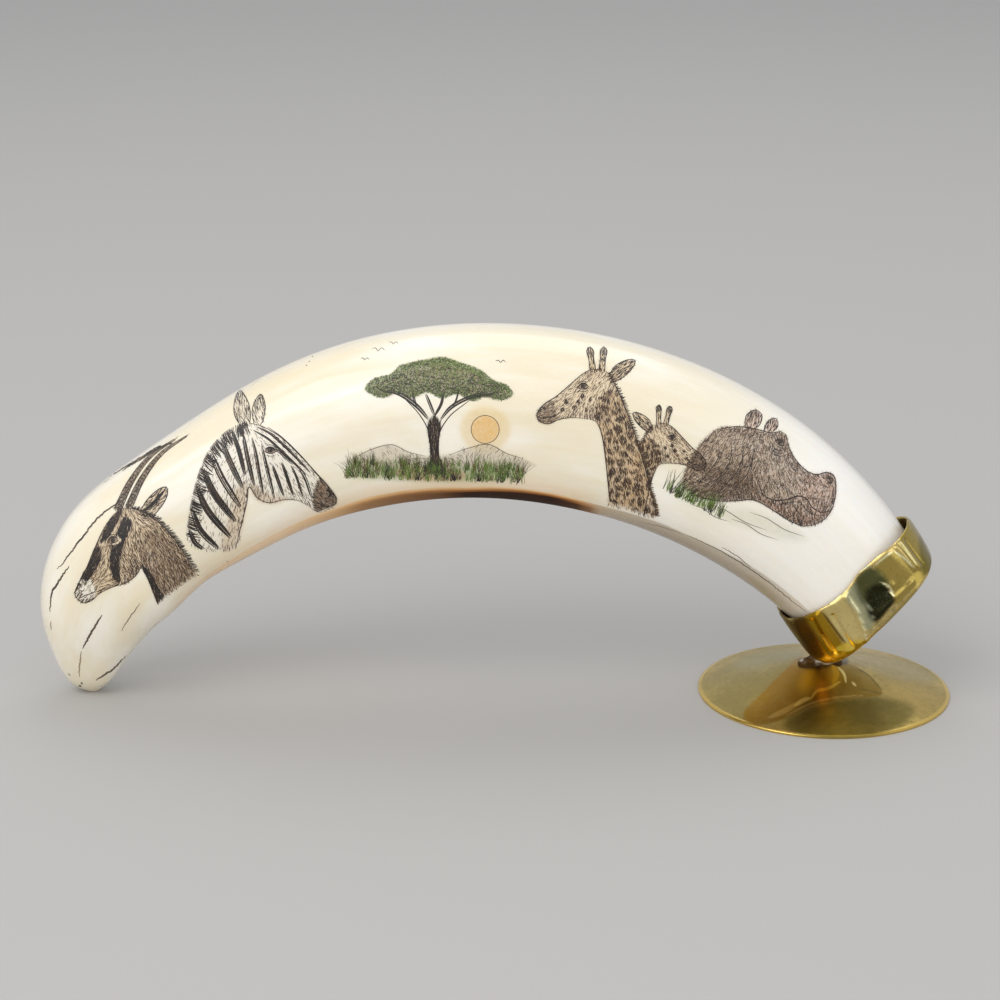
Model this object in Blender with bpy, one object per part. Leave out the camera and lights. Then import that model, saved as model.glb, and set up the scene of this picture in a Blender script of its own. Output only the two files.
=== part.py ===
"""A polished warthog tusk on a small brass stand.

The tusk arches from a brass collar at its sawn base down to its own tip.
The collar is a cup of sheet brass, soldered by its lower corner to the peak of a round brass foot.
The ornament rests on the foot's rim and on the worn end of the tip.

+X runs from the tip towards the foot, +Z is up, and the picture side of the tusk faces -Y.
The origin lies on the surface that the ornament stands on, under the middle of its box.
"""

import math

import bmesh
import bpy
from mathutils import Matrix, Vector

MM = 0.001

# Tusk: its length runs along the centre line, from the sawn base to the tip before wear
TUSK_LENGTH = 251.3 * MM
TUSK_HEIGHT = 43.4 * MM
TUSK_DEPTH = 36.0 * MM
TIP_WEAR = 0.8 * MM
# How square the section is: 2 is an ellipse, and more is squarer
OUTER_SQUARENESS = 2.3
INNER_SQUARENESS = 2.7
# Each row: share of the length, turn from the base in degrees, share of the greatest height
TUSK_STATIONS = (
    (0.00, 0.0, 0.809),
    (0.14, 18.6, 0.938),
    (0.28, 35.7, 0.992),
    (0.42, 51.6, 0.993),
    (0.56, 69.2, 0.953),
    (0.68, 84.5, 0.868),
    (0.78, 89.9, 0.817),
    (0.86, 109.1, 0.810),
    (0.92, 131.5, 0.633),
    (0.96, 140.7, 0.418),
    (1.00, 154.1, 0.199),
)
# The last share of the length closes as a quarter of an ellipse
TIP_ROUNDING = 0.03

# Collar: a cup of sheet brass, made askew, so its walls lean against its mouth and end plate
COLLAR_DEPTH = 13.7 * MM
COLLAR_WALL = 0.8 * MM
COLLAR_SQUARENESS = 3.1
MOUTH_TURN = -6.4
END_TURN = 7.8
COLLAR_LEAN = -4.5
FRONT_CLEARANCE = 0.4 * MM
INNER_CLEARANCE = 0.7 * MM
OUTER_CLEARANCE = 1.7 * MM
BASE_CLEARANCE = 4.2 * MM
COLLAR_EDGE_RADIUS = 1.6 * MM
COLLAR_CORNER_RADIUS = 5.0 * MM

# Foot: a shallow cone of sheet brass, open underneath
FOOT_RADIUS = 32.0 * MM
FOOT_SLOPE = 14.0
FOOT_WALL = 1.0 * MM
FOOT_EDGE = 0.7 * MM
FOOT_PEAK_RADIUS = 2.0 * MM

# Solder: a low bead between the foot's peak and the collar's lower corner, which stands off its middle
CORNER_OFFSET = 2.0 * MM
SOLDER_RADIUS = 6.0 * MM
SOLDER_THICKNESS = 1.5 * MM
SOLDER_CLIMB = 1.8 * MM
JOINT_GAP = 0.3 * MM

# Mesh fineness: the tusk's rings crowd towards the tip, which turns and narrows fastest
TUSK_RINGS = 60
TIP_CROWDING = 0.35
LINE_STEPS = TUSK_RINGS * 4
TUSK_SIDES = 40
COLLAR_RINGS = 6
COLLAR_EDGE_RINGS = 5
COLLAR_SIDES = 48
FOOT_SIDES = 96
SOLDER_SIDES = 28
SOLDER_RINGS = 7
SHARP_ANGLE = math.radians(35)
MERGE_DISTANCE = 0.0001 * MM


def material(name, color, roughness, metallic):
    """A Principled material of one colour."""
    made = bpy.data.materials.new(name)
    made.use_nodes = True
    shader = made.node_tree.nodes["Principled BSDF"]
    shader.inputs["Base Color"].default_value = (*color, 1.0)
    shader.inputs["Roughness"].default_value = roughness
    shader.inputs["Metallic"].default_value = metallic
    made.diffuse_color = (*color, 1.0)
    return made


def smooth_value(points, share):
    """The value at a share of the length, on a smooth curve through (share, value) points."""
    last = len(points) - 1
    slopes = []
    for i in range(last + 1):
        if i in (0, last):
            a, b = (0, 1) if i == 0 else (last - 1, last)
            slopes.append((points[b][1] - points[a][1]) / (points[b][0] - points[a][0]))
            continue
        before = points[i][0] - points[i - 1][0]
        after = points[i + 1][0] - points[i][0]
        rise_before = (points[i][1] - points[i - 1][1]) / before
        rise_after = (points[i + 1][1] - points[i][1]) / after
        slopes.append((rise_before * after + rise_after * before) / (before + after))
    i = 0
    while i < last - 1 and share > points[i + 1][0]:
        i += 1
    span = points[i + 1][0] - points[i][0]
    t = (share - points[i][0]) / span
    start = points[i][1] * (1 + 2 * t) * (1 - t) ** 2 + slopes[i] * span * t * (1 - t) ** 2
    end = points[i + 1][1] * t * t * (3 - 2 * t) - slopes[i + 1] * span * t * t * (1 - t)
    return start + end


def tusk_line():
    """Centre points, headings and half heights along the tusk, its base at the origin heading along +X."""
    turns = [(share, turn) for share, turn, _ in TUSK_STATIONS]
    sizes = [(share, size) for share, _, size in TUSK_STATIONS]
    point = Vector((0.0, 0.0, 0.0))
    line = []
    for k in range(LINE_STEPS + 1):
        share = k / LINE_STEPS
        heading = math.radians(smooth_value(turns, share))
        closing = max(0.0, (share - 1 + TIP_ROUNDING) / TIP_ROUNDING)
        half = smooth_value(sizes, share) * TUSK_HEIGHT / 2 * math.sqrt(1 - closing * closing)
        line.append((point.copy(), heading, half))
        middle = math.radians(smooth_value(turns, min(1.0, share + 0.5 / LINE_STEPS)))
        point += Vector((math.cos(middle), 0, math.sin(middle))) * TUSK_LENGTH / LINE_STEPS
    return line


def outward(heading):
    """The direction out of the arch's outer side, for a centre line with this heading."""
    return Vector((math.sin(heading), 0, -math.cos(heading)))


def onward(heading):
    """The direction of travel of a line with this heading."""
    return Vector((math.cos(heading), 0, math.sin(heading)))


def power(value, exponent):
    """A signed power, as a superellipse needs."""
    return math.copysign(abs(value) ** exponent, value)


def section(sides, squareness_out, squareness_in):
    """(outward share, front share) of each point round a section of the tusk or collar."""
    points = []
    for k in range(sides):
        angle = 2 * math.pi * k / sides
        square = squareness_out if math.sin(angle) > 0 else squareness_in
        points.append((power(math.sin(angle), 2 / square), power(math.cos(angle), 2 / square)))
    return points


def add_ring(mesh, points):
    """Adds one ring of vertices."""
    return [mesh.verts.new(p) for p in points]


def join_rings(mesh, lower, upper):
    """Closes the strip between two rings of the same count."""
    count = len(lower)
    for k in range(count):
        after = (k + 1) % count
        mesh.faces.new((lower[k], lower[after], upper[after], upper[k]))


def finish(name, mesh, finish_material, parent):
    """Makes the object of a finished bmesh, shaded smooth but for its sharp edges."""
    bmesh.ops.remove_doubles(mesh, verts=mesh.verts, dist=MERGE_DISTANCE)
    bmesh.ops.recalc_face_normals(mesh, faces=mesh.faces)
    data = bpy.data.meshes.new(name)
    mesh.to_mesh(data)
    mesh.free()
    data.shade_smooth()
    data.set_sharp_from_angle(angle=SHARP_ANGLE)
    data.materials.append(finish_material)
    made = bpy.data.objects.new(name, data)
    bpy.context.scene.collection.objects.link(made)
    made.parent = parent
    return made


def mouth_reach():
    """How far the collar reaches over the tusk from the tusk's base."""
    return COLLAR_DEPTH - COLLAR_WALL - BASE_CLEARANCE


def tusk_at(reach):
    """Centre point, heading and half height of the tusk at a distance from its base."""
    line = tusk_line()
    return line[round(reach / TUSK_LENGTH * LINE_STEPS)]


def collar_halves():
    """Half sizes of the collar's outer section: out of the arch, and towards the front."""
    tusk_half = tusk_at(mouth_reach())[2]
    across = tusk_half + (OUTER_CLEARANCE + INNER_CLEARANCE) / 2 + COLLAR_WALL
    front = tusk_half * TUSK_DEPTH / TUSK_HEIGHT + FRONT_CLEARANCE + COLLAR_WALL
    return across, front


def collar_at(depth):
    """Centre and heading of the collar's section at a depth below its mouth, in the tusk's base frame."""
    centre, tusk_heading, _ = tusk_at(mouth_reach())
    mouth = centre + outward(tusk_heading) * (OUTER_CLEARANCE - INNER_CLEARANCE) / 2
    turn = MOUTH_TURN + (END_TURN - MOUTH_TURN) * depth / COLLAR_DEPTH
    walls = tusk_heading + math.radians(COLLAR_LEAN)
    return mouth - onward(walls) * depth, tusk_heading + math.radians(turn)


def end_radius(out, inset):
    """Rounding of the collar's end edge, widest at the corner that stands on the foot."""
    corner = max(0.0, -out) ** 2
    outer = COLLAR_EDGE_RADIUS + (COLLAR_CORNER_RADIUS - COLLAR_EDGE_RADIUS) * corner
    return outer - inset


def collar_shell(inset):
    """Rings of the collar's surface from mouth to end plate, moved inwards by inset."""
    across, front = collar_halves()
    end = COLLAR_DEPTH - inset
    shape = section(COLLAR_SIDES, COLLAR_SQUARENESS, COLLAR_SQUARENESS)
    steps = [(k / COLLAR_RINGS, 0.0) for k in range(COLLAR_RINGS)]
    steps += [(1.0, math.pi / 2 * k / COLLAR_EDGE_RINGS) for k in range(COLLAR_EDGE_RINGS + 1)]
    rings = []
    for down, bend in steps:
        ring = []
        for out, near in shape:
            r = end_radius(out, inset)
            centre, heading = collar_at((end - r) * down + r * math.sin(bend))
            narrow = inset + r * (1 - math.cos(bend))
            point = centre + outward(heading) * out * (across - narrow)
            ring.append(point + Vector((0, -1, 0)) * near * (front - narrow))
        rings.append(ring)
    return rings


def foot_height():
    """Height of the foot's peak."""
    return FOOT_EDGE + (FOOT_RADIUS - FOOT_PEAK_RADIUS) * math.tan(math.radians(FOOT_SLOPE))


def stand_matrix():
    """Turns and moves the tusk's base frame so that the collar stands on the foot and the tip on the floor."""
    end_centre, end_heading = collar_at(COLLAR_DEPTH)
    across, _ = collar_halves()
    corner = end_centre + onward(end_heading) * COLLAR_CORNER_RADIUS
    corner -= outward(end_heading) * (across - COLLAR_CORNER_RADIUS)
    tip = tusk_line()[-1][0]
    corner_height = foot_height() + SOLDER_THICKNESS + COLLAR_CORNER_RADIUS
    rise = corner_height + TIP_WEAR
    reach = corner - tip
    lean = math.asin(rise / reach.length) - math.atan2(reach.z, reach.x)
    turn = Matrix.Rotation(-lean, 4, "Y")
    moved = turn @ corner
    return Matrix.Translation((-moved.x - CORNER_OFFSET, 0, corner_height - moved.z)) @ turn


def build_tusk(ivory, parent, stand):
    """The tusk: one solid of shrinking sections along the arch, its tip worn flat on the floor."""
    mesh = bmesh.new()
    line = tusk_line()
    shape = section(TUSK_SIDES, OUTER_SQUARENESS, INNER_SQUARENESS)
    deep = TUSK_DEPTH / TUSK_HEIGHT
    rings = []
    for k in range(TUSK_RINGS):
        share = k / TUSK_RINGS
        eased = share * (1 + TIP_CROWDING - TIP_CROWDING * share)
        centre, heading, half = line[round(eased * LINE_STEPS)]
        ring = []
        for out, near in shape:
            point = centre + outward(heading) * out * half + Vector((0, -1, 0)) * near * half * deep
            ring.append(stand @ point)
        rings.append(add_ring(mesh, ring))
    for lower, upper in zip(rings, rings[1:]):
        join_rings(mesh, lower, upper)
    mesh.faces.new(rings[0])
    tip = mesh.verts.new(stand @ line[-1][0])
    last = rings[-1]
    for k in range(TUSK_SIDES):
        mesh.faces.new((last[k], last[(k + 1) % TUSK_SIDES], tip))
    everything = mesh.verts[:] + mesh.edges[:] + mesh.faces[:]
    cut = bmesh.ops.bisect_plane(
        mesh, geom=everything, dist=MERGE_DISTANCE, plane_co=(0, 0, 0), plane_no=(0, 0, -1), clear_outer=True
    )
    rim = [e for e in cut["geom_cut"] if isinstance(e, bmesh.types.BMEdge)]
    bmesh.ops.holes_fill(mesh, edges=rim, sides=0)
    return finish("tusk", mesh, ivory, parent)


def build_collar(brass, parent, stand):
    """The collar: a cup with a rounded end, its wall the same all round."""
    mesh = bmesh.new()
    outer = [add_ring(mesh, [stand @ p for p in ring]) for ring in collar_shell(0)]
    inner = [add_ring(mesh, [stand @ p for p in ring]) for ring in collar_shell(COLLAR_WALL)]
    for shell in (outer, inner):
        for lower, upper in zip(shell, shell[1:]):
            join_rings(mesh, lower, upper)
        mesh.faces.new(shell[-1])
    join_rings(mesh, outer[0], inner[0])
    return finish("brass_collar", mesh, brass, parent)


def turned(name, profile, sides, finish_material, parent):
    """A solid turned from a closed profile of (radius, height) points whose ends lie on the axis."""
    mesh = bmesh.new()
    verts = [mesh.verts.new((r, 0, z)) for r, z in profile]
    edges = [mesh.edges.new(pair) for pair in zip(verts, verts[1:])]
    bmesh.ops.spin(
        mesh, geom=verts + edges, cent=(0, 0, 0), axis=(0, 0, 1), angle=2 * math.pi, steps=sides, use_merge=True
    )
    return finish(name, mesh, finish_material, parent)


def build_foot(brass, parent):
    """The foot: a thin cone with a small flat peak, and a narrow flat rim that it stands on."""
    slope = math.tan(math.radians(FOOT_SLOPE))
    drop = FOOT_WALL / math.cos(math.radians(FOOT_SLOPE))
    peak = foot_height()
    rim_inner = FOOT_RADIUS - (drop - FOOT_EDGE) / slope
    middle = (FOOT_PEAK_RADIUS + FOOT_RADIUS) / 2
    profile = (
        (0, peak),
        (FOOT_PEAK_RADIUS, peak),
        (middle, peak - (middle - FOOT_PEAK_RADIUS) * slope),
        (FOOT_RADIUS, FOOT_EDGE),
        (FOOT_RADIUS, 0),
        (rim_inner, 0),
        (middle, peak - (middle - FOOT_PEAK_RADIUS) * slope - drop),
        (FOOT_PEAK_RADIUS, peak - drop),
        (0, peak - drop),
    )
    return turned("brass_foot", profile, FOOT_SIDES, brass, parent)


def cutter(name, mesh, of_piece, tool_material):
    """Cuts a piece's bed with a closed mesh, which stays in the scene as a hidden tool."""
    tool = finish(name, mesh, tool_material, of_piece.parent)
    tool.hide_render = True
    tool.display_type = "WIRE"
    cut = of_piece.modifiers.new(name, "BOOLEAN")
    cut.operation = "DIFFERENCE"
    cut.solver = "EXACT"
    cut.object = tool


def build_solder(solder, parent, stand):
    """The solder bead: a low dome, with a bed cut under it for the foot and one in it for the collar."""
    base = foot_height() - SOLDER_RADIUS * math.tan(math.radians(FOOT_SLOPE))
    height = foot_height() + SOLDER_THICKNESS + SOLDER_CLIMB - base
    profile = [(0, base)]
    for k in range(SOLDER_RINGS):
        angle = math.pi / 2 * k / SOLDER_RINGS
        profile.append((SOLDER_RADIUS * math.cos(angle), base + height * math.sin(angle)))
    profile.append((0, base + height))
    bead = turned("solder_joint", profile, SOLDER_SIDES, solder, parent)
    bead.data.transform(Matrix.Translation((-CORNER_OFFSET / 2, 0, 0)))

    foot_bed = bmesh.new()
    lift = JOINT_GAP / math.cos(math.radians(FOOT_SLOPE))
    bed_peak = foot_height() + FOOT_PEAK_RADIUS * math.tan(math.radians(FOOT_SLOPE)) + lift
    fall = FOOT_RADIUS * math.tan(math.radians(FOOT_SLOPE))
    bmesh.ops.create_cone(
        foot_bed, cap_ends=True, segments=FOOT_SIDES, radius1=FOOT_RADIUS, radius2=0, depth=fall
    )
    bmesh.ops.translate(foot_bed, verts=foot_bed.verts, vec=(0, 0, bed_peak - fall / 2))
    cutter("foot_bed", foot_bed, bead, solder)

    collar_bed = bmesh.new()
    rings = [add_ring(collar_bed, [stand @ p for p in ring]) for ring in collar_shell(-JOINT_GAP)]
    for lower, upper in zip(rings, rings[1:]):
        join_rings(collar_bed, lower, upper)
    collar_bed.faces.new(rings[0])
    collar_bed.faces.new(rings[-1])
    cutter("collar_bed", collar_bed, bead, solder)


def main():
    """Builds the ornament and sets its origin under the middle of its box."""
    for old in list(bpy.data.objects):
        bpy.data.objects.remove(old)
    ivory = material("polished ivory", (0.84, 0.77, 0.60), 0.25, 0.0)
    brass = material("old brass", (0.55, 0.42, 0.16), 0.3, 1.0)
    solder = material("solder", (0.52, 0.48, 0.40), 0.45, 1.0)
    ornament = bpy.data.objects.new("ornament", None)
    bpy.context.scene.collection.objects.link(ornament)
    stand = stand_matrix()
    tusk = build_tusk(ivory, ornament, stand)
    collar = build_collar(brass, ornament, stand)
    foot = build_foot(brass, ornament)
    build_solder(solder, ornament, stand)
    reach = [v.co.x for made in (tusk, collar, foot) for v in made.data.vertices]
    ornament.location.x = -(min(reach) + max(reach)) / 2


main()
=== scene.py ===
"""Looks of a polished warthog tusk on a brass stand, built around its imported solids.

Run it as a script in Blender 4.5. Each operator models one piece, and the panel lists them.
The frieze is laid out in the units of the picture plane, about 0.25 mm each, x to the right and y down.
"""

import math

import bmesh
import bpy
import numpy as np
from bpy.props import FloatProperty, FloatVectorProperty, PointerProperty
from bpy.types import Operator, Panel, PropertyGroup
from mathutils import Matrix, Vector
from mathutils.bvhtree import BVHTree


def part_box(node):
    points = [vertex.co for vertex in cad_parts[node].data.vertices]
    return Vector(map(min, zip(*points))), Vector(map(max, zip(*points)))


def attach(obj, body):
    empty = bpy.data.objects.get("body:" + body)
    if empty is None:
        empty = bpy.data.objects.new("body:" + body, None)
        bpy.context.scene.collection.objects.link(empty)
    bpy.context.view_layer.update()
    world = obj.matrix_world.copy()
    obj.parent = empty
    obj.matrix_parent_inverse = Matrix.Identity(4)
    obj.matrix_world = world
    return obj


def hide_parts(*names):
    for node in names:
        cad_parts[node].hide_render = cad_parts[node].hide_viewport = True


bl_info = {
    "name": "Tusk Ornament",
    "version": (1, 0, 0),
    "blender": (4, 5, 0),
    "location": "3D View > Sidebar > Ornament",
    "description": "Models and finishes a scrimshaw tusk on a brass stand",
    "category": "Object",
}

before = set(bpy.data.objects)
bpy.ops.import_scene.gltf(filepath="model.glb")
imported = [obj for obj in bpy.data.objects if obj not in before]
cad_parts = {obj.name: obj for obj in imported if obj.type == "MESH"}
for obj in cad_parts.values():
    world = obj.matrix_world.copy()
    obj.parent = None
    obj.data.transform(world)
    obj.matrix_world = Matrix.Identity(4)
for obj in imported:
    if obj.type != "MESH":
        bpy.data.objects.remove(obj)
MM = 0.001
# Width of the picture plane in its own units, and of the camera's sensor in millimetres
PICTURE_WIDTH = 1000
MIDDLE = PICTURE_WIDTH / 2
SENSOR_WIDTH = 36
# Below this cosine between a surface and the line of sight, no cut is laid on it
EDGE_ON = 0.12
# Width of the thinnest cut in the picture plane
THINNEST = 0.12
FOOT_LOW, FOOT_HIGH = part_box("brass_foot")
FOOT_AXIS = ((FOOT_LOW.x + FOOT_HIGH.x) / 2, 0.0)
# Radius of the foot's flat peak, and how many rings its cone is made of
PEAK_RADIUS = 0.002
TOP_RINGS = 60

# Centre of the tusk (x, z) and its half height, from the sawn base to the tip, in millimetres
TUSK_CENTRE = (
    (92.45, 26.77, 17.56), (78.79, 42.6, 19.34), (62.34, 55.52, 20.7), (43.83, 65.24, 21.38), (23.91, 71.62, 21.66),
    (3.21, 74.66, 21.56), (-17.7, 74.1, 21.2), (-38.14, 69.72, 20.38), (-57.36, 61.48, 19.02), (-75.34, 50.75, 17.97),
    (-91.83, 37.94, 18.02), (-102.08, 19.96, 14.05), (-103.37, -0.8, 0.5),
)
MOUTH_CENTRE = Vector((87.74, 0.0, 33.74)) * MM
MOUTH_WAY = Vector((-0.5486, 0.0, 0.8361))


def color_property(name, description, default):
    """A colour that a user can change."""
    return FloatVectorProperty(
        name=name, description=description, default=default, size=3, min=0, max=1, subtype="COLOR"
    )


def length_property(name, description, default):
    """A length that a user can change, in metres."""
    return FloatProperty(name=name, description=description, default=default, min=0, soft_max=1, precision=5,
        unit="LENGTH")


def power_property(name, description, default):
    """The power of a light, in watts."""
    return FloatProperty(name=name, description=description, default=default, min=0, subtype="POWER", unit="POWER")


class TuskFinish(PropertyGroup):
    """Colours and polish of the ivory."""

    cream: color_property("Cream", "Main colour of the polished ivory", (0.83, 0.75, 0.57))
    pale: color_property("Pale", "Colour of the ivory's paler clouds", (0.90, 0.85, 0.74))
    white: color_property("White", "Colour of the ivory near the collar", (0.93, 0.91, 0.87))
    yellow: color_property("Yellow", "Colour of the ivory's yellowed clouds", (0.78, 0.64, 0.37))
    tan: color_property("Tan", "Colour of the inner edge where little of the root's skin is left", (0.90, 0.56, 0.24))
    orange: color_property("Orange", "Colour of the stain's upper band", (0.42, 0.15, 0.03))
    brown: color_property("Brown", "Colour of the stain's core", (0.022, 0.006, 0.002))
    # Painted shade on the underside of the inner edge towards the collar
    underside_shade: color_property("Grey", "Colour of the inner edge towards the collar", (0.37, 0.285, 0.175))
    roughness: FloatProperty(name="Roughness", description="Roughness of the polish", default=0.24, min=0, max=1,
        subtype="FACTOR")
    crack: color_property("Crack", "Colour of the natural cracks", (0.035, 0.026, 0.02))


class FriezeFinish(PropertyGroup):
    """Ink of the frieze."""

    ink: color_property("Ink", "Colour of the darkest cut lines", (0.018, 0.014, 0.012))
    sepia: color_property("Sepia", "Colour of the brown cut lines", (0.12, 0.06, 0.028))
    grass: color_property("Grass", "Colour of the green cut lines", (0.115, 0.185, 0.028))
    line_scale: FloatProperty(name="Line Scale", description="Width of every cut line against its drawn width",
        default=0.82, min=0.2, max=3)
    stand_proud: length_property("Stand Proud", "How far the ink stands above the polished surface", 0.000018)
    keel: length_property("Keel", "How deep a cut line is", 0.00005)
    wash: FloatProperty(name="Wash", description="Strength of the colour washes", default=1.3, min=0, max=3)


class CollarFinish(PropertyGroup):
    """Dents and brass of the collar."""

    polished: color_property("Polished", "Colour of the polished brass", (0.80, 0.60, 0.22))
    tarnished: color_property("Tarnished", "Colour of the tarnished brass", (0.30, 0.25, 0.11))
    verdigris: color_property("Verdigris", "Colour of the fine dark specks", (0.08, 0.075, 0.03))
    rim_wave: length_property("Rim Wave", "How far the mouth's edge wanders", 0.0006)
    dent_depth: length_property("Dent Depth", "Depth of the deepest dent", 0.0008)


class FootFinish(PropertyGroup):
    """Size and brass of the foot, and its solder."""

    radius: length_property("Radius", "Radius of the foot's rim", (FOOT_HIGH.x - FOOT_LOW.x) / 2)
    height: length_property("Height", "Height of the foot's peak", FOOT_HIGH.z)
    edge: length_property("Edge", "Height of the rim's outer edge", 0.0007)
    wall: length_property("Wall", "Thickness of the spun sheet", 0.001)
    polished: color_property("Polished", "Colour of the polished brass", (0.74, 0.52, 0.14))
    tarnished: color_property("Tarnished", "Colour of the tarnished brass", (0.35, 0.27, 0.085))
    solder: color_property("Solder", "Colour of the solder", (0.82, 0.77, 0.66))
    # Burnt flux, which also stands in as painted shade where the solder meets the cone
    solder_flux_and_shade: color_property("Solder Stain", "Colour of the burnt flux beside the solder", (0.10, 0.052, 0.014))


class StudioFinish(PropertyGroup):
    """Camera, floor and lights."""

    camera: FloatVectorProperty(
        name="Camera", description="Place of the camera", default=(0.00076, -0.64387, 0.25948), size=3,
        subtype="TRANSLATION", unit="LENGTH", precision=5,
    )
    pitch: FloatProperty(
        name="Pitch", description="How far the camera looks down", default=math.radians(17.917), subtype="ANGLE"
    )
    lens: FloatProperty(
        name="Lens", description="Focal length on a 36 mm sensor, in millimetres", default=97.2, min=20, max=300
    )
    floor: color_property("Floor", "Colour of the floor", (0.46, 0.45, 0.43))
    key: power_property("Key", "Power of the main light", 8.3)
    fill: power_property("Fill", "Power of the fill light", 3.4)
    front: power_property("Front", "Power of the broad light over the camera", 7.6)
    sky: FloatProperty(name="Sky", description="Strength of the light from all round", default=0.68, min=0, max=5)


def deselect():
    """Leaves object mode with nothing selected."""
    if bpy.context.object and bpy.context.object.mode != "OBJECT":
        bpy.ops.object.mode_set(mode="OBJECT")
    bpy.ops.object.select_all(action="DESELECT")


def activate(piece):
    """Makes a piece the only one selected, and active."""
    deselect()
    piece.select_set(True)
    bpy.context.view_layer.objects.active = piece


def edit_mode(action="SELECT"):
    """Opens the active piece's mesh with all of it selected, or none."""
    bpy.ops.object.mode_set(mode="EDIT")
    bpy.ops.mesh.select_all(action=action)


def own_copy(node, name):
    """A new piece with a merged copy of a node's mesh, its triangles turned back into quads."""
    piece = bpy.data.objects.new(name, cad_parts[node].data.copy())
    piece.data.name = name
    piece.data.materials.clear()
    bpy.context.scene.collection.objects.link(piece)
    activate(piece)
    edit_mode()
    bpy.ops.mesh.remove_doubles(threshold=0.00001)
    bpy.ops.mesh.tris_convert_to_quads(face_threshold=math.radians(30), shape_threshold=math.radians(60))
    bpy.ops.object.mode_set(mode="OBJECT")
    return piece


def subdivided(piece, levels):
    """Applies a subdivision surface."""
    surface = piece.modifiers.new("Smooth", "SUBSURF")
    surface.levels = surface.render_levels = levels
    activate(piece)
    bpy.ops.object.modifier_apply(modifier=surface.name)


def place(piece, slot, *nodes):
    """Hands a finished piece to the frame: its body, and hides the nodes it stands for. Its slot is not used."""
    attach(piece, "root")
    if nodes:
        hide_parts(*nodes)


def smooth_by_angle(piece, degrees):
    """Shades a piece smooth but for edges sharper than this angle."""
    activate(piece)
    bpy.ops.object.shade_smooth_by_angle(angle=math.radians(degrees))


def store(mesh, name, kind, values):
    """Stores a value for each vertex as a named attribute. Colours come as three parts and are opaque."""
    values = np.asarray(values, np.float32)
    if kind == "FLOAT_COLOR":
        values = np.hstack([values, np.ones((len(values), 1), np.float32)])
    layer = mesh.attributes.new(name, kind, "POINT")
    key = {"FLOAT": "value", "FLOAT_VECTOR": "vector", "FLOAT_COLOR": "color"}[kind]
    layer.data.foreach_set(key, values.ravel())


def vertices(mesh, normals=False):
    """The places of a mesh's vertices, or their normals, as an array."""
    values = np.empty(len(mesh.vertices) * 3, np.float32)
    if normals:
        mesh.vertex_normals.foreach_get("vector", values)
    else:
        mesh.vertices.foreach_get("co", values)
    return values.reshape(-1, 3).astype(float)


def move_vertices(mesh, points):
    """Puts a mesh's vertices at new places."""
    mesh.vertices.foreach_set("co", points.astype(np.float32).ravel())
    mesh.update()


def view_axes():
    """Place, right, up and forward directions of the picture plane, and its unit's share of the distance."""
    studio = bpy.context.scene.ornament_studio
    c, s = math.cos(studio.pitch), math.sin(studio.pitch)
    unit = SENSOR_WIDTH / studio.lens / PICTURE_WIDTH
    return np.array(studio.camera), np.array((1, 0, 0)), np.array((0, s, c)), np.array((0, c, -s)), unit


def to_picture(points):
    """Points of the model as points of the picture plane."""
    eye, right, up, forward, unit = view_axes()
    away = points - eye
    depth = away @ forward
    return np.stack([MIDDLE + away @ right / depth / unit, MIDDLE - away @ up / depth / unit], -1)


def onto_surface(tree, line):
    """Points of the picture plane dropped onto a surface: a list of (point, normal), or None where there is none."""
    eye, right, up, forward, unit = view_axes()
    ways = forward + (line[:, :1] - MIDDLE) * unit * right + (MIDDLE - line[:, 1:]) * unit * up
    origin = Vector(eye)
    found = []
    for way in ways:
        point, normal, _, _ = tree.ray_cast(origin, Vector(way))
        found.append(None if point is None else (point, normal))
    return found


def tree_of(piece):
    """A search tree of a piece's mesh."""
    return BVHTree.FromPolygons([v.co for v in piece.data.vertices], [p.vertices for p in piece.data.polygons])


def add_node(tree, kind, values=(), **settings):
    """Adds a shader node. Values are (input name or number, value or socket) pairs."""
    node = tree.nodes.new(kind)
    for key, value in settings.items():
        setattr(node, key, value)
    for name, value in values:
        if isinstance(value, bpy.types.NodeSocket):
            tree.links.new(value, node.inputs[name])
        else:
            node.inputs[name].default_value = value
    return node


def blend_colors(tree, factor, first, second):
    """Mixes two colours."""
    node = tree.nodes.new("ShaderNodeMix")
    node.data_type = "RGBA"
    for number, value in ((0, factor), (6, first), (7, second)):
        if isinstance(value, bpy.types.NodeSocket):
            tree.links.new(value, node.inputs[number])
        else:
            node.inputs[number].default_value = value if number == 0 else (*value, 1.0)
    return node.outputs[2]


def ranged(tree, value, low, high, new_low=0.0, new_high=1.0):
    """Stretches a value's range, smoothly and clamped."""
    values = ((0, value), (1, low), (2, high), (3, new_low), (4, new_high))
    return add_node(tree, "ShaderNodeMapRange", values, interpolation_type="SMOOTHSTEP").outputs[0]


def maths(tree, operation, *values):
    """One kind of sum, carried through the values from the first to the last."""
    total = values[0]
    for value in values[1:]:
        total = add_node(tree, "ShaderNodeMath", ((0, total), (1, value)), operation=operation).outputs[0]
    return total


def times(tree, *values):
    """The product of the values."""
    return maths(tree, "MULTIPLY", *values)


def plus(tree, *values):
    """The sum of the values."""
    return maths(tree, "ADD", *values)


def less(tree, first, second):
    """The first value less the second."""
    return maths(tree, "SUBTRACT", first, second)


def noise(tree, vector, scale, detail=3.0, roughness=0.5, stretch=(1, 1, 1), move=(0, 0, 0)):
    """Noise along a vector, stretched and moved."""
    mapped = add_node(tree, "ShaderNodeMapping", (("Vector", vector), ("Scale", stretch), ("Location", move)))
    values = (("Vector", mapped.outputs[0]), ("Scale", scale), ("Detail", detail), ("Roughness", roughness))
    return add_node(tree, "ShaderNodeTexNoise", values).outputs[0]


def attribute(tree, name, output):
    """A named attribute of the mesh."""
    return add_node(tree, "ShaderNodeAttribute", attribute_name=name).outputs[output]


def own_places(tree):
    """Places in the piece's own frame."""
    return add_node(tree, "ShaderNodeTexCoord").outputs["Object"]


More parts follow.
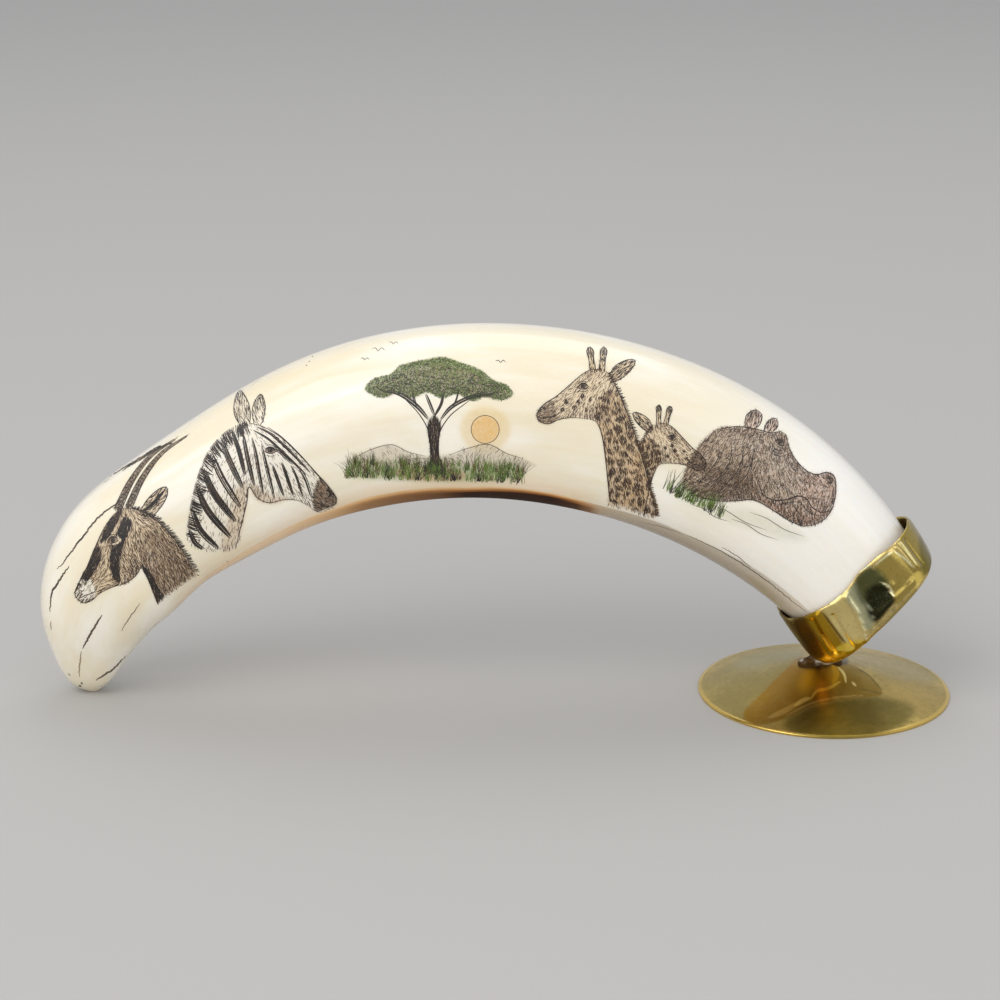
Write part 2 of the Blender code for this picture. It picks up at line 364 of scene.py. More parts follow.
def brightness(tree, color):
    """How bright a colour is."""
    return add_node(tree, "ShaderNodeRGBToBW", ((0, color),)).outputs[0]


def bump(tree, strength, distance, height):
    """Fine relief, for a shader's normal."""
    values = (("Strength", strength), ("Distance", distance), ("Height", height))
    return add_node(tree, "ShaderNodeBump", values).outputs[0]


def wire(tree, shader, **values):
    """Links values to a shader's inputs."""
    for name, value in values.items():
        tree.links.new(value, shader.inputs[name.replace("_", " ")])


def new_material(name, **values):
    """A Principled material with plain values on its sockets, and its node tree and shader."""
    material = bpy.data.materials.new(name)
    material.use_nodes = True
    tree = material.node_tree
    shader = tree.nodes["Principled BSDF"]
    for key, value in values.items():
        shader.inputs[key.replace("_", " ")].default_value = value
    return material, tree, shader


def ivory_material():
    """Polished ivory: clouds, growth lines, the stained inner edge, painted shade on its underside towards the collar,
    and the frieze's washes.
    """
    look = bpy.context.scene.ornament_tusk
    material, tree, shader = new_material(
        "Polished Ivory", IOR=1.54, Subsurface_Weight=0.12, Subsurface_Scale=0.004, Subsurface_Radius=(1.0, 0.75, 0.5),
        Specular_IOR_Level=0.2, Coat_Roughness=0.09,
    )
    straight = attribute(tree, "straight", "Vector")
    clouds = ranged(tree, noise(tree, straight, 1.0, 4.0, stretch=(28, 95, 95)), 0.38, 0.66)
    aged = ranged(tree, noise(tree, straight, 1.0, 3.0, stretch=(22, 60, 60), move=(4, 2, 7)), 0.5, 0.72, 0.0, 0.36)
    base = ranged(tree, attribute(tree, "whiteness", "Fac"), 0.0, 1.0, 0.0, 0.72)
    lines = noise(tree, straight, 1.0, 5.0, 0.6, stretch=(14, 620, 620), move=(1, 5, 3))
    ragged = noise(tree, straight, 1.0, 6.0, 0.62, stretch=(110, 420, 420), move=(3, 1, 2))
    # Height over the stained strip, in millimetres, made ragged along the grain
    fibres = noise(tree, straight, 1.0, 5.0, 0.6, stretch=(26, 700, 700), move=(7, 3, 5))
    rise = plus(tree, attribute(tree, "rise", "Fac"), ranged(tree, fibres, 0.25, 0.75, -0.22, 0.22))
    # Tan and brown are stain; grey is painted shade on the underside towards the collar
    tan, brown, underside_shade = add_node(tree, "ShaderNodeSeparateColor", ((0, attribute(tree, "strip", "Color")),)).outputs
    edge = ranged(tree, rise, -0.22, 0.22, 1.0, 0.0)
    streaks = ranged(tree, fibres, 0.3, 0.7, 0.7, 1.0)
    skin = times(tree, ranged(tree, rise, -0.75, 0.05, 1.0, 0.0), brown)
    core = times(tree, ranged(tree, rise, -1.35, -0.5, 1.0, 0.0), times(tree, brown, brown))
    wash = attribute(tree, "wash_amount", "Fac")
    grain = ranged(tree, noise(tree, straight, 1.0, 4.0, 0.7, stretch=(900, 900, 900)), 0.3, 0.7, 0.72, 1.0)
    color = look.cream
    for amount, over in (
        (clouds, look.pale), (aged, look.yellow), (base, look.white),
        (ranged(tree, lines, 0.35, 0.75, 0.0, 0.12), look.yellow),
        (times(tree, ranged(tree, rise, 0.0, 4.5, 0.32, 0.0), tan), look.tan),
        (times(tree, edge, tan, streaks), look.tan),
        # Grey painted shade on the underside towards the collar, stronger lower down
        (times(tree, edge, underside_shade, ranged(tree, rise, -3.0, 0.0, 1.0, 0.72)), look.underside_shade),
        (times(tree, skin, 0.96), look.orange), (times(tree, core, 0.97), look.brown),
        (times(tree, wash, grain), attribute(tree, "wash", "Color")),
    ):
        color = blend_colors(tree, amount, color, over)
    dull = noise(tree, straight, 1.0, 4.0, stretch=(60, 160, 160), move=(9, 9, 1))
    dull = ranged(tree, dull, 0.3, 0.75, look.roughness - 0.05, look.roughness + 0.12)
    height = plus(tree, times(tree, lines, 0.5), times(tree, ragged, 0.5))
    wire(tree, shader, Base_Color=color, Roughness=plus(tree, dull, times(tree, skin, 0.5), times(tree, wash, 0.10)),
        Coat_Weight=ranged(tree, skin, 0.0, 0.6, 0.6, 0.0), Normal=bump(tree, 0.12, 0.0004, height))
    return material


def ink_material():
    """Ink rubbed into the cut lines, from near black to sepia, and green for grass."""
    look = bpy.context.scene.ornament_frieze
    material, tree, shader = new_material("Rubbed Ink", Roughness=0.42)
    worn = ranged(tree, noise(tree, own_places(tree), 420.0, 3.0), 0.35, 0.75, 0.0, 0.35)
    tone = plus(tree, attribute(tree, "tone", "Fac"), worn)
    brown = blend_colors(tree, ranged(tree, tone, 0.0, 1.0), look.ink, look.sepia)
    wire(tree, shader, Base_Color=blend_colors(tree, ranged(tree, tone, 1.6, 1.9), brown, look.grass))
    return material


def crack_material():
    """Dirt in the ivory's natural cracks."""
    look = bpy.context.scene.ornament_tusk
    material, tree, shader = new_material("Crack Dirt", Roughness=0.6)
    dirt = ranged(tree, noise(tree, own_places(tree), 300.0, 4.0), 0.4, 0.75)
    tone = maths(tree, "MAXIMUM", attribute(tree, "tone", "Fac"), times(tree, dirt, 0.35))
    wire(tree, shader, Base_Color=blend_colors(tree, tone, look.crack, (0.42, 0.31, 0.19)))
    return material


# Dirt in the brass: in its pits, along the foot's turning lines and in its grains
PIT_DIRT, RING_BROWN, GRAIN_BROWN = (0.05, 0.04, 0.02), (0.16, 0.12, 0.05), (0.12, 0.10, 0.04)
PATINA_INPUTS = (
    ("Vector", "NodeSocketVector"), ("Polished", "NodeSocketColor"), ("Tarnished", "NodeSocketColor"),
    ("Amount", "NodeSocketFloat"), ("Scale", "NodeSocketFloat"), ("Smooth", "NodeSocketFloat"),
    ("Dull", "NodeSocketFloat"),
)
PATINA_OUTPUTS = (("Color", "NodeSocketColor"), ("Roughness", "NodeSocketFloat"), ("Height", "NodeSocketFloat"))


def patina_group():
    """The patina of old brass, shared by the collar, the foot and the solder."""
    group = bpy.data.node_groups.new("Brass Patina", "ShaderNodeTree")
    for way, sockets in (("INPUT", PATINA_INPUTS), ("OUTPUT", PATINA_OUTPUTS)):
        for name, kind in sockets:
            group.interface.new_socket(name, in_out=way, socket_type=kind)
    given = group.nodes.new("NodeGroupInput").outputs
    result = group.nodes.new("NodeGroupOutput").inputs
    clouds = noise(group, given["Vector"], given["Scale"], 6.0, 0.62)
    specks = noise(group, given["Vector"], times(group, given["Scale"], 14.0), 4.0, 0.7)
    fine = times(group, given["Scale"], 9.0)
    marks = add_node(group, "ShaderNodeTexVoronoi", (("Vector", given["Vector"]), ("Scale", fine))).outputs[0]
    level = plus(group, less(group, clouds, 0.5), given["Amount"], times(group, less(group, specks, 0.5), 0.45))
    mask = ranged(group, level, 0.3, 0.8)
    color = blend_colors(group, mask, given["Polished"], given["Tarnished"])
    pits = ranged(group, marks, 0.04, 0.16, 1.0, 0.0)
    color = blend_colors(group, times(group, pits, mask, 0.6), color, PIT_DIRT)
    rough = plus(group, given["Smooth"], times(group, mask, less(group, given["Dull"], given["Smooth"])))
    group.links.new(color, result["Color"])
    group.links.new(rough, result["Roughness"])
    group.links.new(plus(group, times(group, specks, 0.4), times(group, clouds, 0.6)), result["Height"])
    return group


def patina(tree, *values):
    """Places the patina group in a material, with a value or a socket for each of its inputs."""
    group = bpy.data.node_groups.get("Brass Patina") or patina_group()
    node = tree.nodes.new("ShaderNodeGroup")
    node.node_tree = group
    for (name, kind), value in zip(PATINA_INPUTS, values):
        if isinstance(value, bpy.types.NodeSocket):
            tree.links.new(value, node.inputs[name])
        else:
            node.inputs[name].default_value = (*value, 1.0) if kind == "NodeSocketColor" else value
    return node.outputs


def collar_material():
    """Beaten sheet brass under a patina, with painted reflections and shade: gold on its lower left, olive above, and
    dark green tarnish and painted shadow in its hollow.
    """
    look = bpy.context.scene.ornament_collar
    material, tree, shader = new_material("Collar Brass", Metallic=1.0)
    where = own_places(tree)
    aged = patina(tree, where, look.polished, look.tarnished, 0.48, 95.0, 0.15, 0.36)
    mottled = noise(tree, where, 2100.0, 6.0, 0.75)
    # The stored colour is painted reflections, highlights and shade, with some tarnish, laid over the patina
    amount = attribute(tree, "reflection_and_tarnish_amount", "Fac")
    # Half-tinted places break up into grains
    grains = times(tree, less(tree, mottled, 0.5), 7.0, times(tree, amount, less(tree, 1.0, amount)))
    reflection_and_tarnish = ranged(tree, plus(tree, amount, grains), 0.0, 1.0)
    tinted = blend_colors(tree, reflection_and_tarnish, aged["Color"], attribute(tree, "reflection_and_tarnish", "Color"))
    shade = ranged(tree, brightness(tree, tinted), 0.03, 0.12, 1.0, 0.0)
    bloom = times(tree, ranged(tree, mottled, 0.50, 0.66, 0.0, 0.10), shade)
    tinted = blend_colors(tree, bloom, tinted, GREY_GREEN)
    specks = ranged(tree, noise(tree, where, 2600.0, 3.0, 0.6, move=(3, 1, 4)), 0.58, 0.70, 0.0, 0.5)
    rough = plus(tree, aged["Roughness"], ranged(tree, brightness(tree, tinted), 0.02, 0.30, 0.22, 0.0))
    wire(tree, shader, Base_Color=blend_colors(tree, specks, tinted, look.verdigris), Roughness=rough,
        Normal=bump(tree, 0.35, 0.00012, aged["Height"]))
    return material


def foot_material():
    """Spun sheet brass: fine turning lines under an olive patina, with painted reflections, highlights and shade over
    it.
    """
    look = bpy.context.scene.ornament_foot
    material, tree, shader = new_material("Foot Brass", Metallic=1.0)
    where = own_places(tree)
    middle = (-FOOT_AXIS[0], -FOOT_AXIS[1], 0.0)
    moved = add_node(tree, "ShaderNodeMapping", (("Vector", where), ("Location", middle))).outputs[0]
    parts = add_node(tree, "ShaderNodeSeparateXYZ", ((0, moved),)).outputs
    radius = maths(tree, "SQRT", plus(tree, times(tree, parts[0], parts[0]), times(tree, parts[1], parts[1])), 0.0)
    values = (("W", times(tree, radius, 2600.0)), ("Scale", 1.0), ("Detail", 3.0))
    rings = add_node(tree, "ShaderNodeTexNoise", values, noise_dimensions="1D").outputs[0]
    rim = ranged(tree, radius, look.radius - 0.0011, look.radius - 0.0002)
    amount = less(tree, 0.62, times(tree, rim, 0.6))
    aged = patina(tree, where, look.polished, look.tarnished, amount, 46.0, 0.26, 0.42)
    cloudy = noise(tree, where, 130.0, 6.0, 0.7, move=(5, 2, 8))
    # Painted reflections, highlights and shade, broken up by clouds
    reflection_and_tarnish = times(tree, attribute(tree, "reflection_and_tarnish_amount", "Fac"), ranged(tree, cloudy, 0.3, 0.6, 0.75, 1.0))
    color = blend_colors(tree, reflection_and_tarnish, aged["Color"], attribute(tree, "reflection_and_tarnish", "Color"))
    color = blend_colors(tree, ranged(tree, rings, 0.35, 0.7, 0.0, 0.05), color, RING_BROWN)
    grains = ranged(tree, noise(tree, where, 1900.0, 3.0, 0.6, move=(2, 6, 1)), 0.56, 0.72, 0.0, 0.3)
    rough = plus(tree, aged["Roughness"], ranged(tree, rings, 0.3, 0.7, -0.015, 0.02))
    height = plus(tree, times(tree, rings, 0.10), aged["Height"])
    wire(tree, shader, Base_Color=blend_colors(tree, grains, color, GRAIN_BROWN), Roughness=rough,
        Normal=bump(tree, 0.25, 0.0001, height))
    return material


def solder_material():
    """Hard solder, with burnt flux and painted shade darkening it low down against the cone."""
    look = bpy.context.scene.ornament_foot
    material, tree, shader = new_material("Silver Solder", Metallic=0.95)
    where = own_places(tree)
    aged = patina(tree, where, look.solder, look.solder_flux_and_shade, attribute(tree, "flux_and_shade", "Fac"), 420.0, 0.34, 0.7)
    wire(tree, shader, Base_Color=aged["Color"], Roughness=aged["Roughness"],
        Normal=bump(tree, 0.6, 0.0002, aged["Height"]))
    return material


def curved(points, closed=False, step=1.6):
    """A smooth line through the points, as an array of points about one step apart."""
    p = np.array(points, float)
    if closed:
        p = np.vstack([p[-1], p, p[0], p[1]])
    else:
        p = np.vstack([2 * p[0] - p[1], p, 2 * p[-1] - p[-2]])
    runs = []
    for a, b, c, d in zip(p, p[1:], p[2:], p[3:]):
        t = np.arange(0, 1, 1 / max(1, round(np.linalg.norm(c - b) / step)))[:, None]
        runs.append(b + (c - a) * t / 2 + (a - 2.5 * b + 2 * c - d / 2) * t**2 + (-a + 3 * b - 3 * c + d) * t**3 / 2)
    if not closed:
        runs.append(p[-2:-1])
    return np.vstack(runs)


def sideways(line):
    """Unit directions square to a line, at each of its points."""
    way = np.gradient(line, axis=0)
    return np.stack([-way[:, 1], way[:, 0]], 1) / np.maximum(np.linalg.norm(way, axis=1), 1e-6)[:, None]


def ring(x, y, wide, high, count):
    """Points round an ellipse."""
    return [(x + wide * math.cos(a), y + high * math.sin(a)) for a in np.linspace(0, 2 * math.pi, count + 1)[:-1]]


def within(area, points):
    """Which points lie inside a closed area."""
    x, y = points[:, 0][:, None], points[:, 1][:, None]
    a, b = area, np.roll(area, -1, axis=0)
    spans = (a[:, 1] > y) != (b[:, 1] > y)
    rise = np.where(b[:, 1] == a[:, 1], 1e-9, b[:, 1] - a[:, 1])
    return (spans & (x < (b[:, 0] - a[:, 0]) * (y - a[:, 1]) / rise + a[:, 0])).sum(1) % 2 == 1


def edge_gap(area, points):
    """The distance of each point from an area's edge."""
    a, b = area, np.roll(area, -1, axis=0)
    along = b - a
    nearest = np.full(len(points), 1e9)
    for start in range(0, len(points), 4000):
        part = points[start:start + 4000, None]
        t = np.clip(((part - a) * along).sum(2) / np.maximum((along**2).sum(1), 1e-9), 0, 1)
        nearest[start:start + 4000] = np.sqrt((((part - a) - t[..., None] * along) ** 2).sum(2)).min(1)
    return nearest


# Gap between hair lines against their drawn gap
FUR_SPACING = 0.84
# How far the lines of a stripe stray sideways
BAND_WANDER = 0.25
# Upper edge of the inner strip in the picture plane, which the frieze stays above
FRIEZE_LIMIT = (
    (95, 672), (126, 641), (145, 618), (164, 600), (190, 581), (212, 568), (235, 554), (282, 530), (333, 509),
    (364, 497.5), (404, 490), (425, 488), (466, 487), (521, 488), (551, 492), (582, 500), (594, 504), (623, 510),
    (684, 531), (725, 550), (766, 576), (798, 603),
)


class Drawing:
    """One motif, drawn about its own middle with x to the right and y down, in units of about 0.25 mm."""

    def __init__(self, at, scale=1.0, turn=0.0, flip=False, seed=1):
        self.at, self.scale, self.flip = np.array(at, float), scale, flip
        self.turn = math.radians(turn)
        self.rng = np.random.default_rng(seed)
        self.strokes = []
        self.washes = []
        self.covers = []

    def placed(self, points):
        """Moves points from the motif's own place to the tusk's front."""
        p = np.array(points, float) * self.scale
        if self.flip:
            p[..., 0] = -p[..., 0]
        c, s = math.cos(self.turn), math.sin(self.turn)
        return np.stack([p[..., 0] * c - p[..., 1] * s, p[..., 0] * s + p[..., 1] * c], -1) + self.at

    def ink(self, points, width=1.1, tone=0.0, taper=0.6, smooth=True, closed=False):
        """One cut line, thinner towards its ends."""
        p = curved(points, closed) if smooth else np.array(points, float)
        t = np.linspace(0, 1, len(p))
        thick = np.full(len(p), width) if closed else width * (1 - taper * np.abs(2 * t - 1) ** 2.5)
        if closed:
            p, thick = np.vstack([p, p[:1]]), np.append(thick, thick[0])
        self.strokes.append((self.placed(p), thick, tone))

    def wash(self, outline, color, amount, soft=4.0, smooth=True):
        """A wash of colour that fades at its edge."""
        area = curved(outline, True, 3) if smooth else np.array(outline, float)
        self.washes.append((self.placed(area), color, amount, soft * self.scale))

    def streak(self, line, width, color, amount):
        """A narrow wash along a line, thinner towards its ends."""
        p = curved(line)
        side = sideways(p) * (width / 2 * (1 - 0.8 * np.abs(np.linspace(-1, 1, len(p))) ** 3))[:, None]
        self.washes.append((self.placed(np.vstack([p + side, (p - side)[::-1]])), color, amount, self.scale))

    def cover(self, outline):
        """Marks an outline that hides the lines of motifs behind it."""
        self.covers.append(self.placed(curved(outline, True, 3)))

    def flow(self, guides, points):
        """Directions at the points, blended from (x, y, angle) guides."""
        g = np.array(guides, float)
        near = 1 / (((points[:, None] - g[:, :2]) ** 2).sum(2) + 20)
        near = near**1.5
        a = np.radians(g[:, 2])
        return np.arctan2((near * np.sin(a)).sum(1), (near * np.cos(a)).sum(1))

    def fur(self, outline, guides, spacing=2.3, length=6.0, width=0.75, base=0.5, shades=(), rim=0.0, rim_width=4.0,
            tone=0.0, spread=9.0, bend=10.0, but=(), smooth=True, keep=None):
        """Fills an outline with short cut lines: denser where it is darker, lying along the guides."""
        area = curved(outline, True) if smooth else np.array(outline, float)
        spacing *= FUR_SPACING
        low, high = area.min(0), area.max(0)
        grid = np.stack(np.meshgrid(np.arange(low[0], high[0], spacing), np.arange(low[1], high[1], spacing)), -1)
        p = grid.reshape(-1, 2)
        p = p + self.rng.uniform(-0.5, 0.5, p.shape) * spacing
        p = p[within(area, p)]
        for other in but:
            p = p[~within(curved(other, True, 3), p)]
        dark = np.full(len(p), base)
        for x, y, radius, amount in shades:
            dark += amount * np.exp(-((p - (x, y)) ** 2).sum(1) / radius**2)
        if rim:
            dark += rim * np.exp(-edge_gap(area, p) / rim_width)
        if keep is not None:
            dark *= keep(p)
        p = p[self.rng.random(len(p)) < dark]
        angle = self.flow(guides, p) + np.radians(self.rng.normal(0, spread, len(p)))
        long = length * self.rng.uniform(0.65, 1.25, len(p))
        curl = np.radians(self.rng.normal(0, bend, len(p)))
        thick = width * self.rng.uniform(0.7, 1.2, len(p))
        steps = max(3, round(length / 2.5))
        for k in range(len(p)):
            t = np.linspace(-0.5, 0.5, steps + 1)
            a = angle[k] + curl[k] * t * 2
            line = p[k] + np.stack([np.cos(a), np.sin(a)], 1) * (t * long[k])[:, None]
            self.strokes.append((self.placed(line), thick[k] * (1 - 0.75 * np.abs(2 * t) ** 2), tone))

    def band(self, points, width, gap=1.0, line=1.3, taper=0.7):
        """A broad dark stripe, laid down as close lines side by side."""
        p = curved(points)
        t = np.linspace(0, 1, len(p))
        side = sideways(p)
        half = width / 2 * (1 - taper * np.abs(2 * t - 1) ** 3)
        count = max(1, round(width / gap))
        for k in range(count):
            off = (k + 0.5) / count * 2 - 1
            wave = self.rng.normal(0, BAND_WANDER)
            start, end = self.rng.integers(0, 2), len(p) - self.rng.integers(0, 2)
            line_points = (p + side * (off * half + wave)[:, None])[start:end]
            if len(line_points) < 3:
                continue
            s = np.linspace(0, 1, len(line_points))
            self.strokes.append((self.placed(line_points), line * (1 - 0.7 * np.abs(2 * s - 1) ** 3), 0.0))

    def tuft(self, x, y, height, blades, fan=28.0, width=0.9, tone=0.0):
        """A tuft of grass blades that fan up from a root."""
        for _ in range(blades):
            a = math.radians(-90 + self.rng.normal(0, fan * 0.5))
            h = height * self.rng.uniform(0.5, 1.1)
            root = np.array([x + self.rng.normal(0, height * 0.12), y + self.rng.normal(0, 0.8)])
            droop = self.rng.normal(0, 0.16) + 0.25 * math.cos(a)
            t = np.linspace(0, 1, 6)
            across = np.cos(a) * t * h + droop * h * t * t
            down = np.sin(a) * t * h + abs(droop) * h * 0.3 * t * t
            line = root + np.stack([across, down], 1)
            self.strokes.append((self.placed(line), width * (1 - 0.8 * t), tone))


UMBER, OCHRE, TAN = (0.20, 0.115, 0.06), (0.47, 0.28, 0.11), (0.60, 0.42, 0.23)
GREEN, GOLD, PINK = (0.20, 0.30, 0.08), (0.72, 0.50, 0.16), (0.55, 0.30, 0.20)
WATER = (0.50, 0.50, 0.34)


def oryx(at, scale, turn):
    """A long-horned antelope's head in profile, facing left."""
    d = Drawing(at, scale, turn, seed=3)
    head = [(6, -45), (-6, -38), (-18, -24), (-30, -4), (-42, 18), (-52, 33), (-57, 43), (-55, 50), (-48, 55),
        (-39, 53), (-29, 46), (-15, 41), (0, 38), (12, 31), (21, 22), (27, 40), (33, 62), (40, 84), (62, 90), (92, 78),
        (85, 52), (73, 22), (57, -8), (39, -30), (22, -42)]
    muzzle = [(-46, 22), (-54, 34), (-58, 44), (-54, 52), (-47, 56), (-38, 53), (-34, 44), (-38, 30)]
    forehead = [(4, -42), (-8, -36), (-17, -23), (-23, -10), (-14, -14), (-5, -26)]
    nose = [(-29, -5), (-39, 13), (-47, 25), (-42, 31), (-33, 21), (-23, 5)]
    cheek = [(6, -34), (-3, -20), (-11, -4), (-15, 14), (-13, 30), (-6, 36), (-5, 20), (-1, 3), (8, -16), (14, -28)]
    throat = [(20, 22), (26, 40), (32, 62), (39, 84), (50, 86), (42, 62), (33, 40), (27, 26)]
    ear = [(24, -37), (32, -50), (46, -61), (56, -63), (56, -54), (48, -42), (36, -33)]
    d.wash(head, TAN, 0.55, 5)
    d.wash([(20, 0), (40, -18), (66, 20), (84, 66), (60, 86), (40, 60), (26, 20)], UMBER, 0.45, 8)
    d.wash(muzzle, (0.80, 0.74, 0.62), 0.8, 3)
    for dark in (forehead, nose, cheek, throat):
        d.wash(dark, UMBER, 0.75, 2)
    socket = [(-16, -10), (-12, -16), (-6, -17), (0, -13), (0, -8), (-6, -5), (-12, -5)]
    d.wash(socket, (0.66, 0.52, 0.34), 0.8, 2)
    guides = [(-50, 40, 130), (-35, 10, 122), (-15, -20, 122), (0, 20, 60), (10, -20, 100), (25, 10, 80), (40, 40, 72),
        (60, 0, 58), (70, 60, 68), (50, 80, 75), (-20, 40, 170), (30, -30, 40)]
    d.fur(head, guides, 2.0, 4.6, 0.6, 0.5,
        [(14, 26, 14, 0.5), (60, 10, 26, 0.3), (66, 70, 30, 0.4), (-46, 44, 16, -0.4)], 0.4, 4, 0.85,
        but=[forehead, nose, cheek, throat])
    d.fur(head, guides, 2.3, 5.5, 0.75, 0.32,
        [(0, 10, 14, 0.3), (14, 26, 12, 0.6), (60, 10, 26, 0.4), (66, 70, 30, 0.6), (-30, 20, 10, 0.15),
        (-46, 44, 16, -0.3)], 0.6, 3.5, 0.1, but=[forehead, nose, cheek, throat])
    for dark in (forehead, nose, cheek, throat):
        d.fur(dark, guides, 1.25, 5.0, 0.95, 0.95, spread=5, but=[socket])
    d.fur(muzzle, [(-46, 34, 130), (-50, 50, 160)], 3, 3.5, 0.6, 0.15, rim=0.6, rim_width=3)
    d.ink(head[0:12], 1.3)
    d.ink(head[10:17] + [(41, 88)], 1.1)
    d.ink(head[21:] + [(6, -45)], 1.2)
    d.wash(ear, TAN, 0.6, 2)
    d.ink(ear + ear[:1], 1.3)
    d.fur(ear, [(40, -48, -35)], 2.0, 7, 0.8, 0.35, [(44, -50, 7, 0.5)], 0.3, 2)
    d.band([(28, -39), (40, -47), (54, -60)], 3.5)
    for x, y, root in ((-1, -43, 3.9), (12, -45, 3.6)):
        line = curved([(x, y), (x + 19, y - 31), (x + 43, y - 56), (x + 76, y - 74)], step=2)
        t = np.linspace(0, 1, len(line))
        half = root * (1 - t) ** 0.8 + 0.35
        way = np.gradient(line, axis=0)
        side = sideways(line) * half[:, None]
        left, right = line - side, line + side
        horn = np.vstack([left, right[::-1]])
        d.wash(horn[::3], UMBER, 0.7, 1.5, smooth=False)
        d.ink(left[::4], 1.1, taper=0.3)
        d.ink(right[::4], 1.2, taper=0.3)
        for k in range(1, int(len(line) * 0.62), 2):
            bow = line[k] + way[k] / np.linalg.norm(way[k]) * 1.6
            d.ink([left[k], bow, right[k]], 1.0, taper=0.4)
        d.fur(horn, [(x, y, -56), (x + 50, y - 66, -45)], 1.5, 5, 0.7, 0.45, rim=0.4, rim_width=1.2, spread=4,
            smooth=False)
    eye(d, -9, -11, 5.4, -1)
    d.ink([(-54, 50), (-46, 47), (-37, 45), (-32, 41)], 1.2)
    d.band([(-54, 36), (-51, 34), (-49, 38)], 2.6)
    d.ink([(-52, 40), (-48, 42), (-46, 39)], 0.9)
    d.ink([(12, 31), (8, 22), (9, 10)], 0.8, taper=0.9)
    mane(d, [(16, -44), (38, -32), (57, -9), (73, 21), (86, 52), (93, 78)], 6, 62, 1.0, -1)
    return d


def eye(d, x, y, size, face):
    """An eye: a dark ball with a glint, its lids and the folds about them, facing left for -1 and right for 1."""

    def at(*places):
        return [(x + face * across * size, y + down * size) for across, down in places]

    lid = at((1.25, 0.25), (0.4, -0.62), (-0.6, -0.55), (-1.2, 0.1))
    low = at((-1.2, 0.1), (-0.4, 0.55), (0.6, 0.6), (1.25, 0.25))
    d.wash(lid + low[1:3], (0.16, 0.09, 0.05), 0.85, 1.2)
    d.band(lid, 1.9)
    d.ink(low, 1.1)
    glint = [(x + 0.22 * size * (math.cos(a) - face * 0.8), y + 0.2 * size * (math.sin(a) - 1)) for a in (0, 2, 4)]
    d.fur(ring(x, y, 0.5 * size, 0.5 * size, 8), [(x, y, 80)], 0.85, 1.8, 0.95, 1.0, but=[glint])
    d.ink(at((1.35, -0.35), (0.3, -1.1), (-0.8, -1.0)), 0.8)
    d.ink(at((-1.0, 0.9), (0.2, 1.2), (1.1, 0.9)), 0.7)


def mane(d, crest, height, lean, width, side, tone=0.0, gap=1.15, keep=None):
    """A short stiff mane along a crest."""
    line = curved(crest, step=gap)
    way = np.gradient(line, axis=0)
    for k in range(len(line)):
        a = math.atan2(way[k, 1], way[k, 0]) + side * math.radians(lean + d.rng.normal(0, 7))
        h = height * d.rng.uniform(0.75, 1.15)
        if keep is not None and not keep(k / len(line)):
            continue
        root = line[k] - 0.8 * np.array([math.cos(a), math.sin(a)])
        tip = root + h * np.array([math.cos(a), math.sin(a)])
        middle = (root + tip) / 2 + way[k] / np.linalg.norm(way[k]) * 0.5
        d.ink([root, middle, tip], width * d.rng.uniform(0.8, 1.2), tone, taper=0.5)


